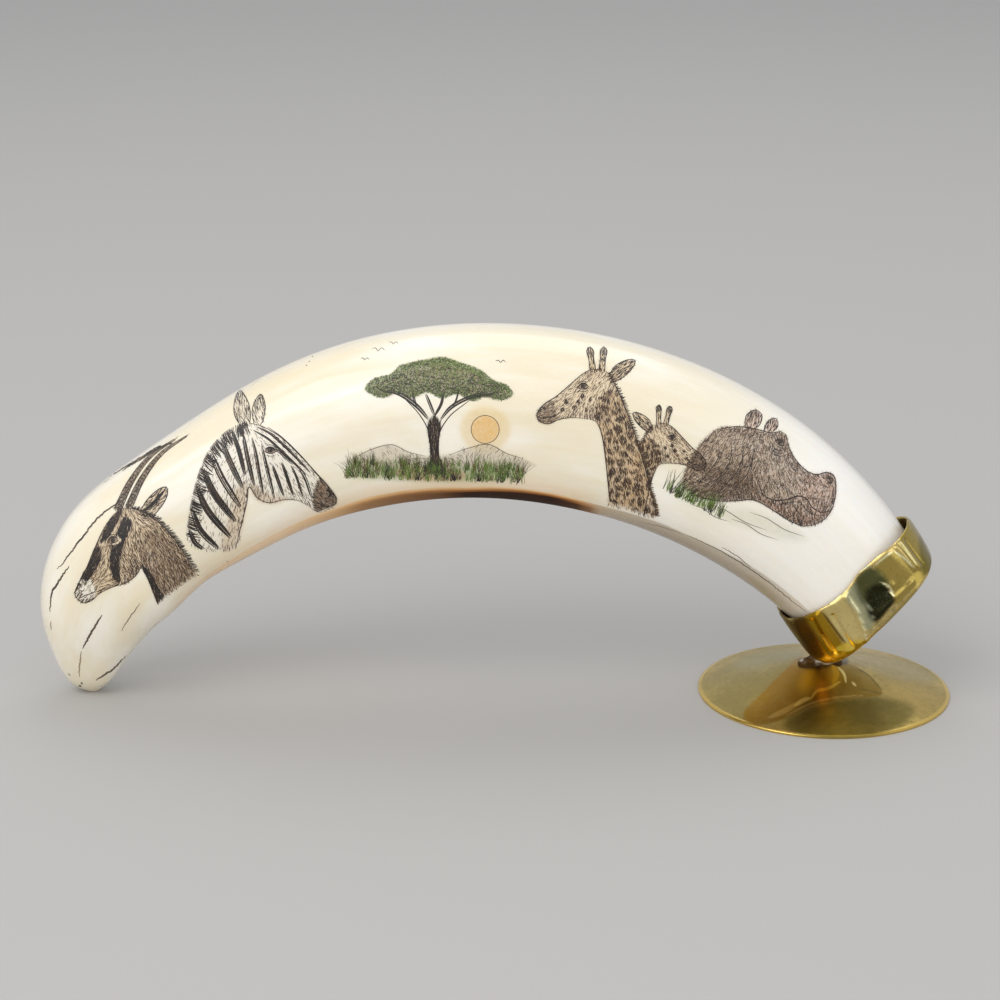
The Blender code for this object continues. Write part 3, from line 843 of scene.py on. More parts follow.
def zebra(at, scale, turn):
    """A zebra's head and neck in profile, facing right."""
    d = Drawing(at, scale, turn, seed=5)
    head = [(-26, -47), (-12, -42), (6, -29), (26, -7), (42, 13), (52, 26), (58, 37), (58, 44), (53, 51), (45, 54),
        (36, 50), (28, 43), (16, 37), (2, 36), (-12, 38), (-24, 32), (-32, 20), (-36, 38), (-42, 60), (-50, 82),
        (-76, 84), (-100, 72), (-94, 34), (-84, 4), (-70, -22), (-50, -40), (-38, -46)]
    muzzle = [(44, 16), (53, 27), (59, 37), (58, 45), (53, 52), (44, 54), (36, 49), (34, 36), (38, 24)]
    d.wash(head, (0.80, 0.74, 0.63), 0.55, 3)
    d.wash([(-30, 16), (-10, 30), (10, 34), (-8, 40), (-26, 34)], OCHRE, 0.35, 5)
    d.wash([(-46, 20), (-34, 20), (-42, 60), (-52, 82), (-66, 82), (-56, 50)], OCHRE, 0.35, 7)
    d.wash(muzzle, UMBER, 0.8, 4)
    guides = [(50, 40, 60), (30, 5, 48), (0, -30, 40), (0, 10, 60), (-20, 20, 100), (-40, 0, 120), (-60, -20, 120),
        (-60, 40, 100), (-80, 60, 100)]
    d.fur(head, guides, 2.6, 4.5, 0.55, 0.2,
        [(-24, 28, 12, 0.5), (-44, 40, 18, 0.4), (20, 34, 12, 0.3), (-30, 0, 12, 0.3)], 0.5, 4, 0.7)
    d.fur(head, guides, 2.8, 4.5, 0.6, 0.12, [(-24, 28, 9, 0.5), (-44, 40, 16, 0.3), (20, 34, 12, 0.3)], 0.6, 2.6)
    d.fur(muzzle, [(48, 38, 50), (40, 48, 20)], 1.7, 3.4, 0.8, 0.6, [(50, 46, 6, 0.3), (46, 28, 5, -0.25)], 0.3, 2)
    d.ink(head[0:12], 1.25)
    d.ink(head[11:18] + [(-51, 84)], 1.15)
    # Stripes of the neck, from the crest to the throat
    for top, middle, low, width in (
        ((-46, -41), (-40, -20), (-35, 8), 5.0), ((-58, -33), (-50, -8), (-38, 22), 6.0),
        ((-70, -20), (-60, 8), (-43, 40), 7.0), ((-79, -3), (-69, 24), (-48, 56), 7.5),
        ((-87, 16), (-77, 42), (-55, 72), 7.5), ((-94, 38), (-86, 62), (-68, 83), 7.0),
        ((-98, 60), (-93, 74), (-84, 82), 5.0),
    ):
        d.band([top, middle, low], width, taper=0.55)
    # Stripes of the cheek curve round the jaw, and those of the face run down to the muzzle
    for path, width in (
        ([(-34, -36), (-32, -16), (-29, 4), (-26, 20)], 4.4), ([(-25, -32), (-22, -14), (-20, 6), (-17, 30)], 4.0),
        ([(-16, -24), (-13, -6), (-10, 12), (-6, 34)], 3.8), ([(-6, -2), (-2, 12), (4, 33)], 3.6),
        ([(4, -4), (8, 10), (14, 33)], 3.4), ([(13, 0), (18, 12), (24, 36)], 3.2), ([(22, 4), (28, 16), (33, 36)], 3.0),
        ([(-20, -43), (-4, -33), (14, -14), (34, 10)], 2.8), ([(-24, -40), (-8, -29), (10, -10), (30, 12)], 2.6),
        ([(-8, -42), (8, -28), (28, -5), (42, 14)], 2.2), ([(-4, -21), (4, -13), (16, 0)], 2.0),
    ):
        d.band(path, width, gap=0.95, line=1.15)
    for ear in ([(-36, -44), (-42, -58), (-40, -74), (-34, -82), (-27, -70), (-25, -56), (-27, -46)],
            [(-22, -46), (-23, -60), (-18, -72), (-12, -76), (-9, -64), (-12, -50), (-16, -44)]):
        d.wash(ear, (0.72, 0.62, 0.48), 0.6, 2)
        d.ink(ear, 1.25, taper=0.3)
        d.fur(ear, [(ear[3][0], ear[3][1], 85), (ear[0][0], ear[0][1], 70)], 1.8, 6, 0.75, 0.35,
            [(ear[3][0], ear[3][1], 7, 0.8)], 0.3, 2)
    eye(d, -7, -17, 5.2, 1)
    d.ink([(57, 45), (49, 46), (41, 43), (36, 38)], 1.3)
    d.band([(47, 31), (51, 29), (53, 34), (49, 37)], 2.8)
    crest = [(-30, -48), (-50, -41), (-70, -23), (-84, 3), (-94, 34), (-101, 66)]
    mane(d, crest, 15, 78, 1.3, -1, keep=lambda t: (t * 8.2) % 1 < 0.66)
    mane(d, crest, 14, 78, 0.6, -1, gap=2.2)
    return d


def acacia(at, scale, turn):
    """A flat-topped thorn tree on the plain, with a low sun, far hills and birds."""
    d = Drawing(at, scale, turn, seed=11)
    sun = ring(52, 4, 15, 15, 12)
    d.wash(sun, (0.78, 0.40, 0.12), 0.7, 2)
    d.wash(ring(52, 4, 27, 25, 12), GOLD, 0.4, 9)
    d.ink(sun, 0.8, closed=True, tone=0.4)
    canopy = [(-78, -34), (-70, -46), (-52, -52), (-40, -62), (-18, -68), (4, -72), (26, -66), (44, -60), (58, -50),
        (74, -44), (80, -34), (66, -28), (50, -31), (38, -26), (20, -33), (4, -28), (-12, -34), (-28, -27), (-44, -32),
        (-60, -26)]
    d.wash(canopy, (0.17, 0.21, 0.06), 0.8, 3)
    d.wash([(x * 0.94, y * 0.8 - 7) for x, y in canopy], UMBER, 0.45, 5)
    ground = [(-92, 48), (-60, 42), (-20, 45), (20, 41), (60, 44), (94, 40), (96, 56), (60, 62), (10, 64), (-50, 64),
        (-92, 62)]
    d.wash([(x * 0.96, y * 0.96) for x, y in ground], GREEN, 0.5, 9)
    d.wash([(-40, 50), (0, 46), (30, 50), (26, 60), (-30, 61)], OCHRE, 0.5, 6)
    hill = [(-92, 42), (-70, 30), (-48, 24), (-30, 31), (-12, 35), (14, 33), (34, 25), (56, 20), (76, 29), (94, 34)]
    d.wash(hill + [(94, 44), (-92, 48)], (0.45, 0.38, 0.28), 0.45, 4)
    d.ink(hill[:5], 0.8, tone=0.3)
    d.ink(hill[5:], 0.8, tone=0.3)
    d.fur(hill + [(94, 42), (-92, 46)], [(-60, 30, 60), (0, 34, 10), (60, 30, 120)], 3.4, 6, 0.55, 0.35, tone=0.35)
    trunk_left = [(-12, 52), (-6, 40), (-7, 22), (-10, 6), (-20, -10), (-34, -24), (-44, -32)]
    trunk_right = [(12, 52), (4, 38), (2, 20), (4, 6), (14, -10), (28, -22), (38, -30)]
    wood = trunk_left[:4] + [(-9, -2), (-3, -8), (3, -2)] + trunk_right[:4][::-1]
    d.wash(wood, UMBER, 0.75, 2)
    d.fur(wood, [(0, 50, 90), (0, 0, 92)], 1.5, 9, 0.85, 0.6, [(4, 30, 6, 0.4)], 0.3, 1.5, spread=5)
    for path, width in (
        (trunk_left, 1.6), (trunk_right, 1.6), ([(-3, -8), (-8, -20), (-14, -33)], 3.2),
        ([(-9, -4), (-22, -18), (-40, -30), (-56, -34)], 4.2), ([(3, -4), (14, -18), (30, -28), (52, -36)], 4.2),
        ([(-3, -8), (4, -22), (6, -36)], 3.0), ([(-22, -18), (-26, -28), (-28, -38)], 2.2),
        ([(16, -19), (20, -28), (22, -40)], 2.2), ([(38, -31), (52, -33), (66, -38)], 2.0),
        ([(-44, -31), (-58, -33), (-68, -38)], 1.8),
    ):
        d.band(path, width, gap=1.1)
    d.fur(canopy, [(-60, -40, 40), (0, -50, 10), (60, -40, 140)], 1.7, 2.8, 0.8, 0.75,
        [(-12, -62, 16, -0.2), (36, -58, 14, -0.2)], 0.3, 3, 2.0, spread=80, bend=70)
    d.fur(canopy, [(-60, -40, 10), (-20, -55, -20), (0, -50, 40), (30, -50, 150), (60, -40, 170)], 1.9, 3.4, 0.95, 0.45,
        [(0, -30, 26, 0.45), (-50, -30, 22, 0.5), (52, -32, 22, 0.5), (-12, -62, 16, -0.25), (36, -58, 14, -0.2)], 0.3,
        3, spread=70, bend=60)
    crown = np.array(curved(canopy, True))
    for _ in range(70):
        x, y = -72 + 144 * d.rng.random(), -68 + 38 * d.rng.random()
        r = d.rng.uniform(3.5, 6.5)
        if within(crown, np.array([(x - r, y + 2), (x, y - r * 0.6), (x + r, y + 1)])).all():
            d.ink([(x - r, y + 2), (x - r * 0.5, y - r * 0.45), (x + r * 0.4, y - r * 0.5), (x + r, y + 1)], 0.9)
    for x, y, r in ((-66, -76, 7), (-50, -84, 5), (-80, -66, 4.5), (66, -68, 5.5)):
        d.ink([(x - r, y - r * 0.35), (x - r * 0.45, y - r * 0.5), (x, y)], 1.0)
        d.ink([(x, y), (x + r * 0.5, y - r * 0.55), (x + r, y - r * 0.2)], 1.0)
    for k in range(300):
        x = -96 + 192 * d.rng.random()
        y = 44 + 18 * d.rng.random()
        d.tuft(x, y, 8 + 9 * d.rng.random(), 5, fan=16, width=0.62, tone=(2.0, 2.0, 0.0, 2.0, 0.8)[k % 5])
    for x, h in ((-88, 24), (-74, 17), (88, 23), (72, 16), (-18, 15), (20, 15), (-50, 14), (46, 15)):
        d.tuft(x, 60, h, 16, fan=30, width=0.85)
    return d


def giraffe(at, scale, turn, flip, seed, behind=()):
    """A giraffe's head and neck, facing left unless it is flipped."""
    d = Drawing(at, scale, turn, flip, seed)
    head = [(10, -31), (0, -31), (-9, -27), (-22, -16), (-36, -4), (-47, 3), (-54, 10), (-56, 17), (-51, 23), (-43, 24),
        (-34, 20), (-20, 18), (-6, 19), (4, 22), (10, 36), (14, 62), (17, 92), (20, 122), (66, 118), (58, 84), (48, 48),
        (36, 14), (27, -8), (19, -24)]
    neck = [(2, 12), (10, 36), (14, 62), (17, 92), (20, 122), (66, 118), (58, 84), (48, 48), (36, 14), (26, -8),
        (14, -8)]
    muzzle = [(-42, 1), (-54, 9), (-57, 17), (-51, 24), (-42, 24), (-36, 15)]
    d.wash(head, TAN, 0.5, 3)
    d.wash(muzzle, UMBER, 0.55, 4)
    spots = np.array([
        (x * 9.0 + (y % 2) * 4.5 + 5 * math.sin(5 * y + x), y * 10.5 + 4 * math.sin(3 * x + y))
        for x in range(-1, 9) for y in range(-1, 13)
    ])
    spots = spots + d.rng.uniform(-2.4, 2.4, spots.shape)

    def patches(p):
        gaps = np.sort(np.sqrt(((p[:, None] - spots) ** 2).sum(2)), axis=1)
        return (gaps[:, 1] - gaps[:, 0] > 2.6) * 1.0

    d.wash(neck, OCHRE, 0.45, 4)
    guides = [(-50, 12, 150), (-25, -5, 140), (0, -20, 130), (0, 10, 100), (20, 20, 70), (20, 80, 84), (50, 60, 72),
        (55, 110, 78)]
    d.fur(neck, guides, 1.45, 4.2, 0.9, 0.85, spread=7, tone=0.3, keep=patches)
    d.fur(head, guides, 2.1, 4.0, 0.55, 0.4, [(0, 12, 12, 0.4), (-20, 12, 10, 0.3)], 0.4, 4, 0.8)
    d.fur(head, guides, 2.4, 4.2, 0.7, 0.2, [(0, 12, 10, 0.4), (-20, 12, 9, 0.3), (-2, -22, 7, 0.3), (14, 60, 9, 0.25)],
        0.5, 3, but=[neck])
    d.fur(neck, guides, 2.4, 5.0, 0.6, 0.1, [(18, 40, 14, 0.4), (24, 90, 16, 0.45), (14, 14, 10, 0.4)], 0.5, 5)
    cheek = np.array([(-14, 2), (-6, 10), (-18, 8), (-26, 2), (-2, 0), (4, 8), (-30, 10), (8, -2), (-10, -4)])
    for x, y in cheek:
        r = d.rng.uniform(1.6, 2.8)
        d.fur([(x - r, y), (x, y - r), (x + r, y), (x, y + r)], guides, 1.1, 2.6, 0.85, 1.0, tone=0.3)
    d.fur(muzzle, guides, 2.0, 3, 0.75, 0.5, [(-50, 20, 5, 0.4)], 0.3, 2)
    d.ink(head[0:13], 1.2)
    d.ink(head[12:18], 1.1)
    d.ink(head[18:] + [(12, -31)], 1.1)
    for x, tilt in ((1, -3), (10, 2)):
        stalk = [(x - 3, -30), (x - 2.6 + tilt * 0.6, -42), (x - 3.4 + tilt, -50), (x + tilt, -54),
            (x + 3.4 + tilt, -50), (x + 2.6 + tilt * 0.6, -42), (x + 3, -30)]
        d.wash(stalk, TAN, 0.6, 1.5)
        d.ink(stalk, 1.1, taper=0.2)
        d.fur(stalk, [(x, -40, 88)], 1.4, 4, 0.75, 0.3, [(x + tilt, -51, 4, 1.2)], 0.35, 1.2)
    ear = [(17, -25), (24, -35), (36, -41), (44, -40), (40, -31), (30, -22), (20, -18)]
    d.wash(ear, TAN, 0.6, 2)
    d.ink(ear + ear[:1], 1.15)
    d.fur(ear, [(30, -31, -35)], 1.8, 6, 0.75, 0.3, [(30, -30, 7, 0.5)], 0.3, 2)
    eye(d, -9, -14, 4.6, -1)
    for k in range(5):
        d.ink([(-14 + k * 2.0, -16.5), (-17 + k * 1.8, -20)], 0.7, smooth=False)
    d.ink([(-55, 18), (-47, 18), (-38, 16), (-31, 12)], 1.15)
    d.band([(-52, 9), (-49, 8), (-48, 11)], 2.2)
    mane(d, [(17, -28), (27, -8), (36, 14), (48, 48), (58, 84), (66, 118)], 4.6, 68, 1.0, -1, tone=0.3)
    d.cover(head)
    if behind:
        d.strokes = [s for s in d.strokes if not any(within(c, s[0]).mean() > 0.4 for c in behind)]
    return d


def hippo(at, scale, turn):
    """A hippo's head in profile, facing right, low in reeds and water."""
    d = Drawing(at, scale, turn, seed=17)
    body = [(-70, -16), (-54, -27), (-41, -32), (-28, -35), (-18, -37), (-10, -42), (-3, -41), (3, -33), (14, -24),
        (28, -18), (40, -18), (48, -24), (56, -25), (62, -18), (67, -6), (69, 8), (66, 20), (60, 28), (50, 34),
        (36, 35), (20, 33), (4, 31), (-8, 32), (-22, 40), (-40, 48), (-62, 52), (-78, 46), (-80, 14)]
    snout = [(34, -16), (42, -19), (50, -25), (58, -24), (64, -15), (69, 0), (68, 14), (60, 18), (44, 16), (34, 10),
        (30, -2)]
    d.wash(body, (0.34, 0.22, 0.13), 0.65, 4)
    d.wash(snout, PINK, 0.3, 6)
    d.wash([(-10, 28), (10, 24), (40, 22), (62, 20), (52, 33), (24, 33), (0, 31)], PINK, 0.35, 4)
    d.wash([(-60, 20), (-30, 10), (-10, 20), (-26, 38), (-60, 46)], UMBER, 0.5, 8)
    guides = [(60, 0, 80), (45, -20, 20), (45, 10, 60), (20, -15, 30), (20, 10, 50), (0, -30, 60), (-10, 0, 70),
        (-10, 25, 40), (-40, -20, 100), (-40, 20, 110), (-65, 10, 105), (-60, 45, 120)]
    d.fur(body, guides, 2.2, 5.5, 0.75, 0.34,
        [(-20, 20, 16, 0.35), (-45, 30, 20, 0.4), (24, 4, 10, -0.15), (50, -10, 9, -0.3), (0, -20, 8, 0.2),
        (-60, -5, 16, -0.2), (46, 28, 12, 0.3), (30, 26, 12, 0.25), (64, 10, 6, 0.25)], 0.5, 3.0, 0.1, spread=14)
    d.fur(body, guides, 2.0, 4.2, 0.6, 0.5, [(-20, 20, 20, 0.4), (50, -10, 9, -0.3)], 0.4, 5, 0.75, spread=14)
    d.fur(body, [(x, y, a + 70) for x, y, a in guides], 2.6, 4.5, 0.6, 0.16,
        [(-30, 24, 22, 0.6), (40, 28, 16, 0.45), (-60, 30, 16, 0.4)], 0.4, 5, spread=10)
    d.ink(body[0:7], 1.2)
    d.ink(body[6:18], 1.3)
    d.ink(body[17:26], 1.2)
    d.ink([(69, 9), (60, 14), (50, 13), (42, 8), (33, 9), (24, 17), (12, 23), (0, 22), (-7, 15)], 1.6)
    d.ink([(66, 15), (56, 19), (46, 18), (38, 14), (30, 17), (20, 24), (8, 28)], 0.9)
    d.band([(50, -19), (54, -21), (57, -18), (54, -15)], 3.0)
    d.ink([(46, -16), (51, -11), (58, -12)], 0.9)
    for _ in range(16):
        x, y = 44 + 20 * d.rng.random(), -6 + 15 * d.rng.random()
        d.ink([(x, y), (x + 0.9, y + 1.4)], 1.2, smooth=False)
    eye(d, -6, -32, 4.0, 1)
    for r in (8, 11, 14):
        d.ink([(-6 + r * math.cos(a), -31 + r * math.sin(a) * 0.9) for a in (0.5, 1.1, 1.8, 2.5)], 0.8)
    for ear, way in (([(-44, -31), (-48, -42), (-42, -51), (-34, -49), (-32, -40), (-36, -32)], 80),
            ([(-26, -36), (-26, -46), (-20, -52), (-15, -46), (-17, -39)], 80)):
        d.wash(ear, PINK, 0.5, 2)
        d.ink(ear, 1.2, taper=0.3)
        d.fur(ear, [(ear[2][0], ear[2][1], way)], 1.8, 5, 0.8, 0.45, [(ear[2][0], ear[2][1] + 6, 4, 0.5)], 0.3, 2)
    for k, (x, low) in enumerate(((-27, 36), (-37, 44), (-48, 48), (-60, 50))):
        d.ink([(x - 4, -24 + 5 * k), (x + 3, -6 + 3 * k), (x + 4, 14), (x - 3, low - 6)], 1.2, taper=0.8)
        d.ink([(x - 1, -14 + 5 * k), (x + 6, 4), (x + 5, 20)], 0.8, taper=0.9)
    for x, y, half in ((-14, 54, 34), (26, 44, 30), (8, 58, 26), (-40, 62, 22)):
        d.ink([(x - half, y), (x - half * 0.4, y - 1.5), (x + half * 0.3, y + 1), (x + half, y - 1)], 0.8, taper=0.9,
            tone=0.3)
    d.wash([(-84, 50), (-40, 54), (0, 40), (40, 40), (58, 46), (30, 56), (-30, 62), (-84, 60)], WATER, 0.3, 12)
    for k in range(46):
        x = -88 + 60 * d.rng.random()
        d.tuft(x, 56 + 6 * d.rng.random(), 10 + 12 * d.rng.random(), 5, fan=16, width=0.75, tone=(2.0, 0.0, 2.0)[k % 3])
    for x, h in ((-86, 30), (-78, 24), (-66, 22)):
        d.tuft(x, 60, h, 10, fan=16)
    return d


def frieze():
    """The motifs from the tusk's tip to its collar."""
    adult = giraffe((592, 400), 0.98, 0, False, 7)
    young = giraffe((664, 448), 0.78, 6, True, 8, adult.covers)
    return [
        ("ink_antelope", [oryx((122, 549), 0.90, -6)]), ("ink_zebra", [zebra((278, 466), 0.95, -4)]),
        ("ink_thorn_tree", [acacia((437, 424), 0.93, 2)]), ("ink_giraffes", [young, adult]),
        ("ink_hippo", [hippo((772, 474), 1.0, 25)]),
    ]


def straight_places(points):
    """Where points lie on the tusk as if it were straight: along it, out of the arch and to the front, in metres."""
    rows = np.array(TUSK_CENTRE) * MM
    line = curved(rows[:, [0, 1]] * 1000, step=0.8) / 1000
    way = np.gradient(line, axis=0)
    way /= np.linalg.norm(way, axis=1)[:, None]
    out = np.stack([way[:, 1], -way[:, 0]], 1)
    along = np.concatenate([[0], np.cumsum(np.linalg.norm(np.diff(line, axis=0), axis=1))])
    flat = points[:, [0, 2]]
    nearest = np.empty(len(points), int)
    for start in range(0, len(points), 8000):
        gap = ((flat[start:start + 8000, None] - line) ** 2).sum(2)
        nearest[start:start + 8000] = gap.argmin(1)
    away = flat - line[nearest]
    return np.stack([along[nearest] + (away * way[nearest]).sum(1), (away * out[nearest]).sum(1), -points[:, 1]], 1)


def ease(value, low, high):
    """A smooth step from 0 at low to 1 at high."""
    t = np.clip((value - low) / (high - low), 0, 1)
    return t * t * (3 - 2 * t)


# Along the inner edge, by the picture plane's x: the strip's width in millimetres, how tan and brown its stain is, and
# how grey its painted shade is
INNER_STRIP = (
    (150, 0.0, 0.0, 0.0, 0.0), (190, 0.8, 0.45, 0.0, 0.0), (235, 1.5, 0.7, 0.0, 0.0), (282, 2.0, 0.8, 0.0, 0.0),
    (333, 2.4, 0.9, 0.3, 0.0), (364, 2.8, 1.0, 0.62, 0.0), (404, 2.9, 1.0, 0.74, 0.0), (440, 2.7, 1.0, 0.85, 0.0),
    (466, 2.5, 1.0, 1.0, 0.0), (521, 2.9, 1.0, 1.0, 0.0), (551, 2.9, 1.0, 1.0, 0.0), (576, 2.6, 1.0, 0.95, 0.0),
    (590, 2.4, 0.6, 0.7, 0.4), (603, 2.3, 0.2, 0.1, 0.85), (640, 2.6, 0.05, 0.0, 0.95), (684, 2.9, 0.0, 0.0, 0.95),
    (725, 3.4, 0.0, 0.0, 0.9), (766, 4.0, 0.0, 0.0, 0.8), (800, 4.3, 0.0, 0.0, 0.6), (840, 4.4, 0.0, 0.0, 0.4),
)


def inner_strip(points, straight, normals):
    """Height of each point over the strip's upper edge in millimetres, and its tones of stain and of painted shade. The
    back mirrors the front.
    """
    rows = np.array(TUSK_CENTRE) * MM
    out = rows[1:, [0, 1]] - rows[:-1, [0, 1]]
    out = np.stack([out[:, 1], -out[:, 0]], 1) / np.linalg.norm(out, axis=1)[:, None]
    along = np.concatenate([[0], np.cumsum(np.linalg.norm(np.diff(rows[:, :2], axis=0), axis=1))])
    middle = (along[1:] + along[:-1]) / 2
    outward = np.stack([np.interp(straight[:, 0], middle, out[:, k]) for k in (0, 1)], 1)
    pitch = bpy.context.scene.ornament_studio.pitch
    tilt = np.arctan2(math.sin(pitch) * outward[:, 1], math.cos(pitch))
    height = straight[:, 1] * np.cos(tilt) - np.abs(straight[:, 2]) * np.sin(tilt)
    step = 0.002
    places = np.arange(0, along[-1] + step, step)
    number = np.clip((straight[:, 0] / step).astype(int), 0, len(places) - 1)
    lowest = np.full(len(places), np.nan)
    for k in np.unique(number):
        lowest[k] = height[number == k].min()
    known = ~np.isnan(lowest)
    base = np.interp(straight[:, 0], places[known] + step / 2, lowest[known])
    mirrored = points * np.where(points[:, 1:2] > 0, (1, -1, 1), (1, 1, 1))
    x = to_picture(mirrored)[:, 0]
    table = np.array(INNER_STRIP)
    rise = (height - base) * 1000 - np.interp(x, table[:, 0], table[:, 1])
    # Past the edge, the whole underside belongs to the strip: its stain, and towards the collar its painted shade
    inward = -(normals[:, [0, 2]] * outward).sum(1)
    under = ease(inward * np.sin(tilt) - np.abs(normals[:, 1]) * np.cos(tilt), -0.12, 0.06) * (inward > 0)
    rise = rise * (1 - under) - 2.2 * under
    tones = np.stack([np.interp(x, table[:, 0], table[:, k]) for k in (2, 3, 4)], 1)
    return rise, tones


def washed(points, normals, washes, strength=1.0):
    """Colour and amount of the washes at each point that faces the picture plane."""
    color = np.zeros((len(points), 3))
    amount = np.zeros(len(points))
    picture = to_picture(points)
    facing = (normals * (view_axes()[0] - points)).sum(1) > 0
    for area, wash, most, soft in washes:
        low, high = area.min(0) - soft, area.max(0) + soft
        near = np.flatnonzero(facing & (picture > low).all(1) & (picture < high).all(1))
        if not len(near):
            continue
        gap = edge_gap(area, picture[near]) * np.where(within(area, picture[near]), 1, -1)
        part = np.minimum(1, ease(gap, -soft * 0.5, soft * 0.5) * most * strength)
        before = amount[near]
        amount[near] = part + before * (1 - part)
        fresh = np.divide(part, amount[near], out=np.zeros_like(part), where=amount[near] > 0)[:, None]
        color[near] = color[near] * (1 - fresh) + np.array(wash) * fresh
    return color, amount


def above_limit(line):
    """How far points of the picture plane lie above the frieze's lower limit."""
    limit = np.array(FRIEZE_LIMIT)
    return np.interp(line[:, 0], limit[:, 0], limit[:, 1], left=2000, right=2000) - line[:, 1]


def paint_tusk(mesh, motifs):
    """Stores the tusk's straightened places, its stains, the painted shade of its underside and the frieze's washes on
    its vertices.
    """
    points = vertices(mesh)
    straight = straight_places(points)
    store(mesh, "straight", "FLOAT_VECTOR", straight)
    store(mesh, "whiteness", "FLOAT", 1 - ease(straight[:, 0], 0.012, 0.085))
    rise, strip = inner_strip(points, straight, vertices(mesh, True))
    store(mesh, "rise", "FLOAT", rise)
    store(mesh, "strip", "FLOAT_COLOR", strip)
    strength = bpy.context.scene.ornament_frieze.wash
    color, amount = washed(points, vertices(mesh, True), [wash for motif in motifs for wash in motif.washes], strength)
    store(mesh, "wash", "FLOAT_COLOR", color)
    store(mesh, "wash_amount", "FLOAT", amount * ease(rise, -0.1, 0.9) * ease(above_limit(to_picture(points)), -1, 7))


def cut_lines(name, strokes, tree, material, scale, limited=False):
    """One mesh of cut lines on the tusk, each a thin closed wedge with its keel in the ivory."""
    look = bpy.context.scene.ornament_frieze
    eye, _, _, _, unit = view_axes()
    verts, faces, tones = [], [], []
    for number, (line, widths, tone) in enumerate(strokes):
        run = []
        if limited:
            # Neighbouring lines end at different heights over the limit
            kept = above_limit(line) > number * 5 % 7
            if not kept.all():
                line, widths = line[kept], widths[kept]
            if len(line) < 2:
                continue
        for found, width in list(zip(onto_surface(tree, line), widths)) + [(None, 0)]:
            # A line breaks where it leaves the tusk or turns over its edge
            if found is not None and (Vector(eye) - found[0]).normalized().dot(found[1]) > EDGE_ON:
                far = (found[0] - Vector(eye)).length
                run.append((found[0], found[1], max(THINNEST, width) * scale * unit * far / 2))
                continue
            if len(run) >= 2:
                first = len(verts)
                for k, (point, normal, half) in enumerate(run):
                    way = run[min(k + 1, len(run) - 1)][0] - run[max(k - 1, 0)][0]
                    side = way.cross(normal).normalized() * half
                    top = point + normal * look.stand_proud
                    verts += [top - side, top + side, point - normal * look.keel]
                    if k:
                        a = first + 3 * k
                        faces += [(a - 3, a, a + 1, a - 2), (a - 2, a + 1, a + 2, a - 1), (a - 1, a + 2, a, a - 3)]
                last = len(verts) - 3
                faces += [(first, first + 1, first + 2), (last + 2, last + 1, last)]
                tones += [tone] * (len(verts) - first)
            run = []
    if not faces:
        raise RuntimeError(f"no line of {name} lies on the tusk")
    mesh = bpy.data.meshes.new(name)
    mesh.from_pydata([tuple(v) for v in verts], [], faces)
    store(mesh, "tone", "FLOAT", tones)
    mesh.materials.append(material)
    piece = bpy.data.objects.new(name, mesh)
    bpy.context.scene.collection.objects.link(piece)
    activate(piece)
    edit_mode()
    bpy.ops.mesh.normals_make_consistent(inside=False)
    bpy.ops.object.mode_set(mode="OBJECT")
    place(piece, "ivory")
    return piece


class ORNAMENT_OT_tusk(Operator):
    """Models the polished tusk and stains it"""

    bl_idname = "ornament.tusk"
    bl_label = "Polished Tusk"

    def execute(self, context):
        tusk = own_copy("tusk", "polished_tusk")
        edit_mode("DESELECT")
        bpy.ops.mesh.select_mode(type="EDGE")
        bpy.ops.mesh.edges_select_sharp(sharpness=math.radians(50))
        bpy.ops.transform.edge_crease(value=1.0)
        bpy.ops.object.mode_set(mode="OBJECT")
        subdivided(tusk, 2)
        # The front carries the washes, so its faces are halved once more
        edit_mode("DESELECT")
        bpy.ops.mesh.select_mode(type="FACE")
        edit = bmesh.from_edit_mesh(tusk.data)
        for face in edit.faces:
            if face.normal.y < -0.12 and (face.calc_center_median() - MOUTH_CENTRE).dot(MOUTH_WAY) > 0.004:
                face.select_set(True)
        bmesh.update_edit_mesh(tusk.data)
        bpy.ops.mesh.subdivide(number_cuts=1)
        bpy.ops.object.mode_set(mode="OBJECT")
        smooth_by_angle(tusk, 40)
        paint_tusk(tusk.data, [motif for _, motifs in frieze() for motif in motifs])
        tusk.data.materials.append(ivory_material())
        place(tusk, "ivory", "tusk")
        return {"FINISHED"}


class ORNAMENT_OT_frieze(Operator):
    """Cuts and inks the frieze's motifs on the tusk's front"""

    bl_idname = "ornament.frieze"
    bl_label = "Inked Frieze"

    def execute(self, context):
        tree = tree_of(bpy.data.objects["polished_tusk"])
        material = ink_material()
        scale = context.scene.ornament_frieze.line_scale
        for name, motifs in frieze():
            cut_lines(name, [stroke for motif in motifs for stroke in motif.strokes], tree, material, scale, True)
        return {"FINISHED"}


